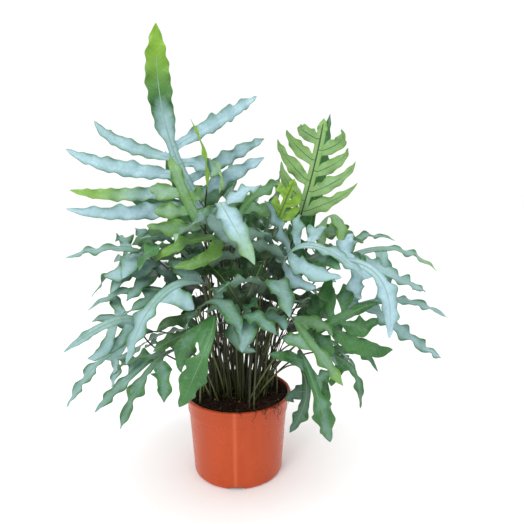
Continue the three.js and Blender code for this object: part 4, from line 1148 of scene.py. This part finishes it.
def lobe_cage(cage, row, trait, curve, base_row, seat, phase, look, tip_youth):
    """A side lobe sewn to the edge points in base_row. Returns its middle line."""
    steps = limited(whole(curve.length / WAVE_STEP), FEWEST_WAVES, MOST_LOBE_WAVES)
    count = steps * ROWS_PER_WAVE
    base = min(WIDEST_BASE, seat["gap"] / 2 / row["wide"])
    base_points = np.array([cage.points[i] for i in base_row])
    bloom = look["bloom"] + LOBE_BLOOM_SPREAD * (trait["size"] - 1) / (LOBE_SPREAD / 2)
    shares = np.arange(1, count + 1) / count
    grid = [base_row]
    middle = [base_points[len(base_row) // 2]]
    for share, at, ahead, up, right in zip(shares, *curve.frames(shares)):
        waves = share * steps
        opening = base + (1 - base) * min(1, share / LOBE_OPENS_OVER)
        taper = max(0, 1 - share ** LOBE_FULLNESS) ** LOBE_TAPER
        half = row["wide"] * trait["size"] * opening * taper
        if row.get("pointed"):
            half = row["wide"] * POINTED_BASE * max(0, 1 - share) ** POINTED_POWER
        half *= row.get("slim", 1) * (1 + WAVE_NARROWS * math.cos(math.pi * waves))
        half = max(THINNEST, half)
        reach = share * curve.length
        roll = trait["roll"] * share
        rolled_up = up * math.cos(roll) + right * math.sin(roll)
        rolled_right = np.cross(ahead, rolled_up)
        height = margin_height(LOBE_COLUMNS, half, waves, trait["wave"], reach, phase)
        across = scalloped(LOBE_COLUMNS, half, reach, phase)
        points = at + np.outer(across, rolled_right) + np.outer(height, rolled_up)
        settled = float(ease(waves))
        points = points * settled + (base_points + at - curve.at[0]) * (1 - settled)
        grid.append(cage.add(points, along=reach, across=LOBE_COLUMNS * half,
                             edge=np.abs(LOBE_COLUMNS) * settled,
                             veined=float(ease(waves / LOBE_VEINS_AFTER)),
                             bloom=between(look["bloom"], bloom, share, **LOBE_BLOOM),
                             youth=between(look["youth"], tip_youth, share, **LOBE_YOUTH)))
        middle.append(points[len(LOBE_COLUMNS) // 2])
    cage.sew(grid)
    return np.array(middle)


print("waves along a side lobe:", FEWEST_WAVES, "to", MOST_LOBE_WAVES)

# %% [markdown]
# The subdivided sheet still has no thickness. Two skins are made from it, one moved up and one
# down along the surface normal, with a narrow rim between them. A Solidify modifier could do
# it too, but made by hand the upper and lower skin can have a finish of their own, because the
# underside of this fern is paler and duller than its waxy upper side.

# %% Two skins and a rim
BLADE_HALF_THICKNESS = 0.24
UPPER_SKIN = 0
LOWER_SKIN = 1
RIB_SKIN = 2
STEM_SKIN = 3


def smoothed(cage):
    """The cage after one subdivision: points, normals, quads and values as arrays."""
    mesh = mesh_of("cage", cage.points, cage.faces, cage.values)
    thing = bpy.data.objects.new("cage", mesh)
    bpy.context.scene.collection.objects.link(thing)
    modifier = thing.modifiers.new("round", "SUBSURF")
    modifier.levels = 1
    seen = bpy.context.evaluated_depsgraph_get()
    result = thing.evaluated_get(seen).to_mesh()
    points = np.zeros(len(result.vertices) * 3)
    normals = np.zeros(len(result.vertices) * 3)
    result.vertices.foreach_get("co", points)
    result.vertex_normals.foreach_get("vector", normals)
    quads = np.zeros(len(result.polygons) * 4, int)
    result.polygons.foreach_get("vertices", quads)
    values = {}
    for key in cage.values:
        values[key] = np.zeros(len(result.vertices))
        result.attributes[key].data.foreach_get("value", values[key])
    bpy.data.objects.remove(thing)
    bpy.data.meshes.remove(mesh)
    return points.reshape(-1, 3) / MM, normals.reshape(-1, 3), quads.reshape(-1, 4), values


def open_edges(quads):
    """The edges that only one quad has, in that quad's direction."""
    edges = np.concatenate([quads[:, [i, (i + 1) % 4]] for i in range(4)])
    keys = {}
    for a, b in edges.tolist():
        keys[(a, b)] = True
    return [(a, b) for a, b in keys if (b, a) not in keys]


def skins(points, normals, quads):
    count = len(points)
    both = np.concatenate([points + normals * BLADE_HALF_THICKNESS,
                           points - normals * BLADE_HALF_THICKNESS])
    rim = [(b, a, a + count, b + count) for a, b in open_edges(quads)]
    faces = quads.tolist() + (quads[:, ::-1] + count).tolist() + rim
    finish = [UPPER_SKIN] * len(quads) + [LOWER_SKIN] * len(quads) + [UPPER_SKIN] * len(rim)
    return both, faces, finish


print("a blade is", 2 * BLADE_HALF_THICKNESS, "mm thick")

# %% [markdown]
# Ribs and stems are round, so they are tubes: a ring of points at every step of a line. The
# rings are turned as little as possible from one to the next, which keeps a tube from
# twisting. Both ends are closed by a single face. A curve object with a bevel would be quicker
# to set up, but tubes made as meshes join the blade in one piece and carry its values.

# %% Tubes
STEEP = 0.9
ASIDE_WAY = np.array([1.0, 0, 0])


def tube(line, radii, sides):
    line = np.asarray(line, float)
    ahead = unit(np.gradient(line, axis=0))
    side = unit(np.cross(ahead[0], UP if abs(ahead[0][2]) < STEEP else ASIDE_WAY))
    angles = np.arange(sides) * 2 * math.pi / sides
    points = []
    for at, way, radius in zip(line, ahead, radii):
        side = unit(side - way * side.dot(way))
        other = np.cross(way, side)
        points += [at + radius * (math.cos(a) * side + math.sin(a) * other) for a in angles]
    faces = grid_faces(len(line), sides, closed=True)
    last = len(points) - sides
    faces.append(tuple(reversed(range(sides))))
    faces.append(tuple(last + k for k in range(sides)))
    return np.array(points), faces


trial_points, trial_faces = tube([(0, 0, 0), (0, 0, 10), (4, 0, 20)], [1, 1, 1], 6)
print("a trial tube has", len(trial_points), "points and", len(trial_faces), "faces")

# %% [markdown]
# Coarse bits lie on the peat: bark crumbs, most of them near the rim where the sides of the
# mound are low and a few spilt on the lip, white perlite, and golden-brown scales round the
# stems. A particle system would strew them too, but each bit made as a small lump of twelve
# corners, turned and dented by seeded draws, stays a plain mesh that comes out the same.

# %% Bits on the peat
LUMP_CORNERS = [(0, 0, 1), (0.9, 0, 0.4), (0.3, 0.85, 0.4), (-0.7, 0.5, 0.4), (-0.7, -0.5, 0.4),
                (0.3, -0.85, 0.4), (0.7, 0.5, -0.4), (-0.3, 0.85, -0.4), (-0.9, 0, -0.4),
                (-0.3, -0.85, -0.4), (0.7, -0.5, -0.4), (0, 0, -1)]
LUMP_FACES = [(0, 1, 2), (0, 2, 3), (0, 3, 4), (0, 4, 5), (0, 5, 1), (1, 6, 2), (2, 7, 3),
              (3, 8, 4), (4, 9, 5), (5, 10, 1), (6, 7, 2), (7, 8, 3), (8, 9, 4), (9, 10, 5),
              (10, 6, 1), (11, 7, 6), (11, 8, 7), (11, 9, 8), (11, 10, 9), (11, 6, 10)]
DENTS = (0.6, 1.15)
LUMP_LENGTHS = (0.8, 1.3)
LUMP_WIDTHS = (0.5, 0.9)
BITS_STAND_OUT = 0.4
BARK_COUNT = 620
SPILT_COUNT = 60
PERLITE_COUNT = 34
SCALE_COUNT = 90
LITTER_SEED = 31
FULL_TURN = 2 * math.pi
draw = np.random.default_rng(LITTER_SEED)


def lumps(places, sizes, flatness):
    """Small lumps, each turned and dented in its own way."""
    points = []
    faces = []
    for place, size in zip(places, sizes):
        turn = draw.uniform(0, FULL_TURN)
        cos, sin = math.cos(turn), math.sin(turn)
        spin = np.array([[cos, -sin, 0], [sin, cos, 0], [0, 0, 1]])
        dented = np.array(LUMP_CORNERS) * draw.uniform(*DENTS, (len(LUMP_CORNERS), 1))
        stretched = (draw.uniform(*LUMP_LENGTHS), draw.uniform(*LUMP_WIDTHS), flatness)
        shaped = dented * size / 2 * stretched
        faces += [tuple(len(points) + i for i in face) for face in LUMP_FACES]
        points += list(shaped @ spin.T + place)
    return points, faces


def on_peat(out, around, above):
    x, y = out * math.cos(around), out * math.sin(around)
    return np.array([x, y, peat_height(x, y) + rim_bank(x, y) + above])


def strewn(count, least, most, power):
    """Places on the peat: a power under a half gathers them at the rim."""
    outs = least + (most - least) * draw.random(count) ** power
    return [on_peat(out, around, BITS_STAND_OUT)
            for out, around in zip(outs, draw.uniform(0, FULL_TURN, count))]


def litter(name, places, sizes, flatness, tones):
    finish = Finish(name, roughness=0.9, specular=0.2)
    finish.paint(finish.mix(finish.speckle(300, 2.0), *tones))
    piece(name, mesh_of(name, *lumps(places, sizes, flatness)), [], [finish])
    print(name, "are", len(sizes))


bark = strewn(BARK_COUNT, 6, PEAT_RADIUS - 2.4, 0.22)
bark += [np.array([out * math.cos(around), out * math.sin(around), POT_HEIGHT + 0.3])
         for out, around in zip(draw.uniform(PEAT_RADIUS, LIP_RADIUS - 1, SPILT_COUNT),
                                draw.uniform(0, FULL_TURN, SPILT_COUNT))]
bark_sizes = np.append(draw.uniform(2, 5.4, BARK_COUNT), draw.uniform(0.8, 2, SPILT_COUNT))
litter("bark_crumbs", bark, bark_sizes, 0.75, (shade(12, 8, 6), shade(62, 40, 26)))
litter("perlite", strewn(PERLITE_COUNT, 8, PEAT_RADIUS - 3, 0.5),
       draw.uniform(1.2, 2.8, PERLITE_COUNT), 0.9, (shade(170, 150, 110), shade(222, 214, 196)))
litter("rhizome_scales", strewn(SCALE_COUNT, 4, 44, 0.7), draw.uniform(1.4, 3.6, SCALE_COUNT),
       0.9, (shade(96, 62, 24), shade(178, 136, 60)))

# %% [markdown]
# Fine brown roots creep over the peat, and at the right front some hang out over the lip. Each
# is a thin tube along a wandering line. The line goes outwards in equal steps and strays a
# little to the sides, and once past the lip each step leads down instead of out.

# %% Roots over the peat and the lip
ROOT_COUNT = 46
ROOT_STEP = 2.2
ROOT_STRAY = 0.06
ROOT_STANDS_OUT = 0.8
ROOT_LEAVES_PEAT = 3
ROOT_CLIMB = 7.6
ROOT_CLIMB_REACH = 9
ROOT_FALL = 1.3
OVER_LIP = LIP_RADIUS + 1.2
RIGHT_FRONT = (-1.5, -0.1)
THREAD_SIDES = 5
THREAD_TAPER = 0.6


def wandering(around, start, steps, over):
    """A line over the peat, which may go on over the lip and hang down outside it."""
    line = []
    for k in range(steps):
        out = start + ROOT_STEP * k
        around += draw.uniform(-ROOT_STRAY, ROOT_STRAY)
        if out < PEAT_RADIUS - ROOT_LEAVES_PEAT:
            line.append(on_peat(out, around, ROOT_STANDS_OUT))
        elif not over:
            break
        else:
            past = out - PEAT_RADIUS + ROOT_LEAVES_PEAT
            climb = ROOT_CLIMB * min(1, past / ROOT_CLIMB_REACH)
            fall = max(0, out - OVER_LIP) * ROOT_FALL
            reach = min(out, OVER_LIP + 0.5)
            line.append(np.array([reach * math.cos(around), reach * math.sin(around),
                                  PEAT_EDGE_HEIGHT + climb - fall]))
    return line


def threads(name, lines, radii, tones):
    points = []
    faces = []
    for line, radius in zip(lines, radii):
        along = np.linspace(radius, radius * THREAD_TAPER, len(line))
        ring_points, ring_faces = tube(line, along, THREAD_SIDES)
        faces += [tuple(len(points) + i for i in face) for face in ring_faces]
        points += list(ring_points)
    finish = Finish(name, roughness=0.6, specular=0.3)
    finish.paint(finish.mix(finish.speckle(60, 2.0), *tones))
    piece(name, mesh_of(name, points, faces), [], [finish])
    print(name, "are", len(lines))


right_front = draw.uniform(*RIGHT_FRONT, ROOT_COUNT // 2)
anywhere = draw.uniform(0, FULL_TURN, ROOT_COUNT - len(right_front))
root_lines = [wandering(around, draw.uniform(40, 50), int(draw.integers(12, 19)), True)
              for around in right_front]
root_lines += [wandering(around, draw.uniform(20, 44), 9, False) for around in anywhere]
threads("root_threads", root_lines, draw.uniform(0.3, 0.6, ROOT_COUNT),
        (shade(34, 17, 12), shade(88, 48, 30)))

# %% [markdown]
# Among the stems stand old stalks that have lost their blades. They fill the heart of the
# clump with dark upright lines. They are made like the roots, as thin tubes, but each along a
# short curve that rises out of the peat and then leans away from the middle.

# %% Old stalks
STALK_COUNT = 130
STALK_INNER = 6
STALK_RING = 38
STALK_SINK = 4
STALK_LEANS = (6, 30)
STALK_HEIGHTS = (60, 150)
STALK_SWAY = 7
STALK_STRAIGHT = 40
STALK_STEPS = 8


def stalk():
    around = draw.uniform(0, FULL_TURN)
    foot = on_peat(STALK_INNER + STALK_RING * draw.random() ** 0.7, around, -STALK_SINK)
    lean = np.array([math.cos(around), math.sin(around), 0]) * draw.uniform(*STALK_LEANS)
    sway = np.append(draw.uniform(-STALK_SWAY, STALK_SWAY, 2), 0)
    tip = foot + lean + sway + UP * draw.uniform(*STALK_HEIGHTS)
    control = [foot, foot + UP * STALK_STRAIGHT + lean * 0.2, tip]
    return [bezier(control, k / STALK_STEPS)[0] for k in range(STALK_STEPS + 1)]


threads("old_stalks", [stalk() for _ in range(STALK_COUNT)],
        draw.uniform(0.7, 1.1, STALK_COUNT), (shade(22, 24, 12), shade(66, 74, 36)))

# %% [markdown]
# No two fronds of this plant have the same colour. Grown blades carry a blue wax, which is
# thinner towards the edges, and young ones are yellow-green. Deep in the clump the wax is cut
# and the colour is darkened to a plain dark green, as painted shade.
# Each frond therefore gets two shares: bloom, how much wax it has, and youth. The tip of a
# growing blade is younger than its foot, so both may change towards the end, and lobe_youth
# does so for single lobes. A young blade seen from behind has a dark midrib, dark_rib. Fronds
# of the rule take their bloom in turn, and all stems their tone, from dark brown to olive.

# %% Wax and age of each frond
LEAF_LOOKS = {
    "frond_low_left": dict(bloom=0.02),
    "frond_low_right": dict(bloom=0.15),
    "frond_front": dict(bloom=0.85, tip_youth=0.45, lobe_youth={0: 0.35}),
    "frond_left_blue": dict(bloom=0.68),
    "frond_blue_drop": dict(bloom=1.0),
    "frond_blue_right": dict(bloom=0.78),
    "frond_tall": dict(bloom=0.9, tip_bloom=0.0, tip_youth=0.95, lobe_youth={2: 0.9, 5: 0.8}),
    "frond_young_right": dict(bloom=0.5, youth=0.75, tip_youth=0.9, dark_rib=0.9),
    "frond_small_young": dict(bloom=0.1, youth=0.9, tip_youth=1.0, dark_rib=0.6),
    "frond_young_left": dict(bloom=0.35, youth=0.35, tip_youth=0.6),
    "frond_right_mid": dict(bloom=0.0),
    "frond_mid_yellow": dict(bloom=0.15, youth=0.4, tip_youth=0.6),
    "frond_left_star": dict(bloom=0.6),
    "frond_right_front": dict(bloom=0.3, youth=0.2, tip_youth=0.6),
    "frond_left_top": dict(bloom=0.55),
    "frond_small_left": dict(bloom=0.4),
    "frond_small_mid": dict(bloom=0.3),
    "frond_left_low": dict(bloom=0.55),
    "frond_left_under": dict(bloom=0.42),
    "frond_left_green": dict(bloom=0.15, youth=0.1),
    "frond_left_arc": dict(bloom=0.5),
    "frond_right_under": dict(bloom=0.15),
    "frond_right_back_low": dict(bloom=0.3),
    "frond_right_top": dict(bloom=0.4, youth=0.4, tip_youth=0.7),
    "frond_mid_heart": dict(bloom=0.0),
    "frond_mid_green": dict(bloom=0.0, youth=0.1),
    "frond_right_far": dict(bloom=0.55, tip_youth=0.5),
    "frond_right_low": dict(bloom=0.6),
    "frond_erect_right": dict(bloom=0.0),
    "frond_centre_up": dict(bloom=0.2, youth=0.15),
    "frond_curl": dict(bloom=0.2, youth=0.9, tip_youth=1.0),
}
DARK_STEM_SHARES = [0.9, 0.25, 1.0, 0.65, 0.0, 0.95, 0.5]
RULED_BLOOMS = [0.45, 0.15, 0.6, 0.0, 0.5, 0.25]
DEEPEST = 0.92
CLUMP_FLATTENED = 0.8
CLUMP_EDGE = dict(at=124, fade=70)
CLUMP_TOP = dict(at=350, fade=110)


def painted_shade_in_clump(points):
    """How deep a point lies in the clump, from 0 at its outside to nearly 1 in its heart, where
    little light comes. The finishes darken the colour by it as painted shade.
    """
    out = np.hypot(points[:, 0] * CLUMP_FLATTENED, points[:, 1])
    inside = ease((CLUMP_EDGE["at"] - out) / CLUMP_EDGE["fade"])
    below = ease((CLUMP_TOP["at"] - points[:, 2]) / CLUMP_TOP["fade"])
    return DEEPEST * inside * below


def look_of(row, index):
    known = LEAF_LOOKS.get(row["name"], dict(bloom=RULED_BLOOMS[index % len(RULED_BLOOMS)]))
    youth = known.get("youth", 0.0)
    return dict(bloom=known["bloom"], tip_bloom=known.get("tip_bloom", known["bloom"]),
                youth=youth, tip_youth=known.get("tip_youth", youth),
                lobe_youth=known.get("lobe_youth", {}), dark_rib=known.get("dark_rib", 0.0))


print("fronds with a look of their own:", len(LEAF_LOOKS))

# %% [markdown]
# The finish of the blade reads those shares. Side veins are worked out from where a point lies
# on the leaf: they leave the rib at a slant, so the distance along minus a part of the distance
# across is the same all along one vein. Folding that number back and forth gives a ridge line
# every few millimetres, used for a paler line and a slight quilting between the veins. The wax
# is patchy, by noise, and thinner towards the edges. Deep in the clump the wax is cut and the
# colour is darkened to a dark green, as painted shade. Subsurface light makes thin blades glow a
# little.

# %% Leaf finishes
VEIN_STEP = 5.2
VEIN_SLANT = 0.75
VEIN_DRIFT = 5.0
VEIN_WIDTH = 0.55
WAX_PATCHES = 0.9
EDGE_THINS_WAX = 0.7
EDGE_POWER = 3.0
PAINTED_SHADE_CUTS_WAX = 0.8
WAXY_BLUE = shade(158, 189, 202)
LEAF_GREEN = shade(70, 128, 60)
DEEP_GREEN = shade(22, 72, 32)
PAINTED_SHADE_GREEN = shade(10, 34, 10)
YOUNG_GREEN = shade(120, 162, 40)
PALE_VEIN = shade(176, 202, 182)


def leaf_finish(name, paleness, vein_strength, roughness):
    finish = Finish(name, roughness=roughness, specular=0.4)
    bloom = finish.attribute("bloom")
    youth = finish.attribute("youth")
    across = finish.sum("ABSOLUTE", finish.attribute("across"))
    slanted = finish.sum("MULTIPLY_ADD", across, -VEIN_SLANT, finish.attribute("along"))
    drift = finish.sum("MULTIPLY_ADD", finish.speckle(50, 2.0), VEIN_DRIFT, slanted)
    fold = finish.sum("PINGPONG", drift, VEIN_STEP / 2)
    vein = finish.ramp(fold, VEIN_WIDTH, 0.0)
    vein_mask = finish.sum("MULTIPLY", vein, finish.attribute("veined"))
    worn = finish.sum("MULTIPLY_ADD", finish.speckle(45, 4.0, 0.6), WAX_PATCHES,
                      -WAX_PATCHES / 2)
    # The wax thins towards the margins, which makes them greener.
    edge = finish.sum("POWER", finish.attribute("edge"), EDGE_POWER)
    wax_patches_and_edges = finish.sum("MULTIPLY_ADD", edge, -EDGE_THINS_WAX, worn)
    # Painted shade: deep in the clump the wax is cut.
    lit = finish.sum("MULTIPLY_ADD", finish.attribute("shade"), -PAINTED_SHADE_CUTS_WAX, 1.0)
    wax = finish.sum("MULTIPLY", finish.sum("ADD", bloom, wax_patches_and_edges, clamp=True), lit)
    green = finish.mix(finish.speckle(30, 2.0), DEEP_GREEN, LEAF_GREEN)
    colour = finish.mix(wax, green, WAXY_BLUE)
    colour = finish.mix(youth, colour, YOUNG_GREEN)
    # Painted shade: deep in the clump the colour is darkened towards a dark green.
    colour = finish.mix(finish.attribute("shade"), colour, PAINTED_SHADE_GREEN)
    colour = finish.mix(paleness, colour, PALE_VEIN)
    colour = finish.mix(finish.sum("MULTIPLY", vein_mask, vein_strength), colour, PALE_VEIN)
    mottled = finish.ramp(finish.speckle(260, 5.0, 0.6), 0.3, 0.7, 0.9, 1.08)
    finish.paint(finish.mix(1.0, colour, mottled, "MULTIPLY"))
    quilt = finish.sum("MULTIPLY", finish.sum("POWER", fold, 0.6), finish.attribute("veined"))
    finish.bump(quilt, 0.0004, 0.2)
    finish.shader.inputs["Subsurface Weight"].default_value = 0.2
    finish.shader.inputs["Subsurface Radius"].default_value = (0.6, 1.0, 0.3)
    finish.shader.inputs["Subsurface Scale"].default_value = 0.0015
    finish.shader.inputs["Sheen Weight"].default_value = 0.05
    finish.shader.inputs["Sheen Roughness"].default_value = 0.5
    return finish


# %% [markdown]
# Ribs are green on plain leaves and pale where the blade is waxy. Stems run from olive to dark
# brown. Both read the same shares as the blade, so that a rib never looks painted on, and deep in
# the clump both are dulled to a dark olive as painted shade.

# %% Rib and stem finishes
DARK_RIB = shade(52, 72, 34)
PAINTED_SHADE_OLIVE = shade(92, 102, 52)
DARK_STEM = shade(34, 32, 16)


def rib_finish(name, green, grown, young, roughness, stem_share):
    finish = Finish(name, roughness=roughness, specular=0.4)
    plain = finish.mix(finish.attribute("bloom"), green, grown)
    colour = finish.mix(finish.attribute("youth"), plain, young)
    colour = finish.mix(finish.attribute("dark_rib"), colour, DARK_RIB)
    # Painted shade: deep in the clump ribs and stems are dulled to a dark olive.
    colour = finish.mix(finish.attribute("shade"), colour, PAINTED_SHADE_OLIVE)
    darkened = finish.sum("MULTIPLY", finish.attribute("dark_stem"), stem_share)
    colour = finish.mix(darkened, colour, DARK_STEM)
    mottled = finish.ramp(finish.speckle(160, 4.0), 0.0, 1.0, 0.8, 1.15)
    finish.paint(finish.mix(1.0, colour, mottled, "MULTIPLY"))
    return finish


frond_finishes = [
    leaf_finish("blade_above", 0.0, 0.06, 0.42),
    leaf_finish("blade_below", 0.15, 0.1, 0.65),
    rib_finish("rib", shade(84, 134, 74), shade(140, 172, 156), shade(128, 156, 62), 0.5, 0.0),
    rib_finish("stem", shade(98, 110, 52), shade(108, 116, 64), shade(112, 132, 60), 0.45, 1.0),
]

# %% [markdown]
# A real frond is one grown thing, so here it is one piece. Its skins, ribs and stem could be
# made as objects and joined by an operator, but joining the lists of points and faces first
# needs no operator and keeps the values of every point.

# %% Parts of one frond
class Parts:
    """The meshes of one frond, joined as they come."""

    def __init__(self):
        self.points = []
        self.faces = []
        self.finish = []
        self.values = {key: [] for key in SHEET_VALUES}

    def add(self, points, faces, finish, values):
        first = sum(len(part) for part in self.points)
        self.points.append(points)
        self.faces += [tuple(first + i for i in face) for face in faces]
        self.finish += finish
        for key in self.values:
            self.values[key].append(np.broadcast_to(values.get(key, 0.0), len(points)))

    def add_tube(self, line, radii, sides, finish, youth, bloom):
        points, faces = tube(line, radii, sides)
        self.add(points, faces, [finish] * len(faces), {"youth": youth, "bloom": bloom})


print("values that each point of a sheet carries:", ", ".join(SHEET_VALUES))

# %% [markdown]
# Everything is ready to grow the fronds one by one. For each: find the right try, build the
# cage of its core and lobes, round it, give it skins, and lay the ribs and the stem in it.

# %% Grow a frond
PHASE_TURN = 6.28
STEM_SINK = 5
STEM_STEPS = 30
STEM_FOOT_RADIUS = 1.15
STEM_TOP_RADIUS = 0.95
MIDRIB_STEPS = 34
MIDRIB_REACH = 0.95
RIB_START = 0.5
RIB_END = 0.2
MIDRIB_RADIUS = 0.9
MIDRIB_END = 0.3
STEM_SIDES = 10
RIB_SIDES = 6


def grow(row, index):
    """Makes the piece of one frond and tells how well it fits its frame."""
    seed = index + 1
    corners = corners_of(row["name"])
    nth, gap = right_try(row, corners)
    traits = traits_of(lobe_count(row), seed)
    spine = spine_of(row, seed, nth)
    rachis = spine["rachis"]
    look = look_of(row, index)
    row["phase"] = PHASE_TURN * (traits["jitter"][0] + 0.5)
    slots = slots_of(row, rachis)
    zone = row.get("zone", BACK_ZONE) if slots else BARE_START
    cage = Cage()
    grid = core_cage(cage, row, traits, rachis, slots, zone, look)
    ribs = []
    left_out = 0
    for slot, entry in enumerate(slots):
        if entry is None:
            continue
        lobe, side = entry
        seat = seat_of(row, rachis, slots, slot, zone)
        trait = traits["lobes"][lobe]
        tip = ruled_tip(row, lobe, seat, trait["size"]) if by_rule(row) else row["lobes"][lobe]
        curve = right_curve(seat, np.array(tip, float), corners)
        if curve is None:
            left_out += 1
            continue
        edge = -1 if side > 0 else 0
        stretch_rows = grid[slot * ROWS_PER_SLOT:(slot + 1) * ROWS_PER_SLOT + 1]
        base_row = [line[edge] for line in stretch_rows]
        if side > 0:
            base_row = base_row[::-1]
        youth = look["lobe_youth"].get(lobe, look["youth"])
        middle = lobe_cage(cage, row, trait, curve, np.array(base_row), seat,
                           row["phase"] + lobe, look, youth)
        joint = rachis.frames((slot + 0.5) * zone / len(slots))[0]
        ribs.append((np.concatenate([joint, middle[:-2]]), youth))
    points, normals, quads, values = smoothed(cage)
    parts = Parts()
    both, faces, finish = skins(points, normals, quads)
    parts.add(both, faces, finish, {key: np.tile(value, 2) for key, value in values.items()})
    for line, youth in ribs:
        radii = np.linspace(RIB_START, RIB_END, len(line))
        parts.add_tube(line, radii, RIB_SIDES, RIB_SKIN, youth, look["bloom"])
    shares = np.linspace(0, MIDRIB_REACH, MIDRIB_STEPS)
    midrib = rachis.frames(shares)[0]
    thin = ease((shares - zone) / (1 - zone))
    parts.add_tube(midrib, MIDRIB_RADIUS + (MIDRIB_END - MIDRIB_RADIUS) * thin, STEM_SIDES,
                   RIB_SKIN, look["youth"], look["bloom"])
    stem = spine["stem"].frames(np.linspace(0, 1, STEM_STEPS))[0]
    stem = np.concatenate([[spine["root"] - spine["growth"] * STEM_SINK], stem, midrib[1:3]])
    stem_radii = np.linspace(STEM_FOOT_RADIUS, STEM_TOP_RADIUS, len(stem))
    parts.add_tube(stem, stem_radii, STEM_SIDES, STEM_SKIN, look["youth"], look["bloom"])
    parts.values = {key: np.concatenate(value) for key, value in parts.values.items()}
    everywhere = np.concatenate(parts.points)
    parts.values["dark_rib"] = np.full(len(everywhere), look["dark_rib"])
    dark_stem = DARK_STEM_SHARES[index % len(DARK_STEM_SHARES)]
    parts.values["dark_stem"] = np.full(len(everywhere), dark_stem)
    # How much painted shade each point gets, by its depth in the clump.
    parts.values["shade"] = painted_shade_in_clump(everywhere)
    mesh = mesh_of(row["name"] + "_blade", everywhere, parts.faces, parts.values)
    mesh.polygons.foreach_set("material_index", parts.finish)
    piece(row["name"] + "_blade", mesh, [row["name"]], frond_finishes)
    return dict(gap=round(gap, 4), left_out=left_out, quads=len(quads))


grown = [grow(row, index) for index, row in enumerate(rows)]
print("widest gap to the frame's tips, in mm:", max(frond["gap"] for frond in grown))
print("lobes left out:", sum(frond["left_out"] for frond in grown))
print("quads of the sheets:", sum(frond["quads"] for frond in grown))
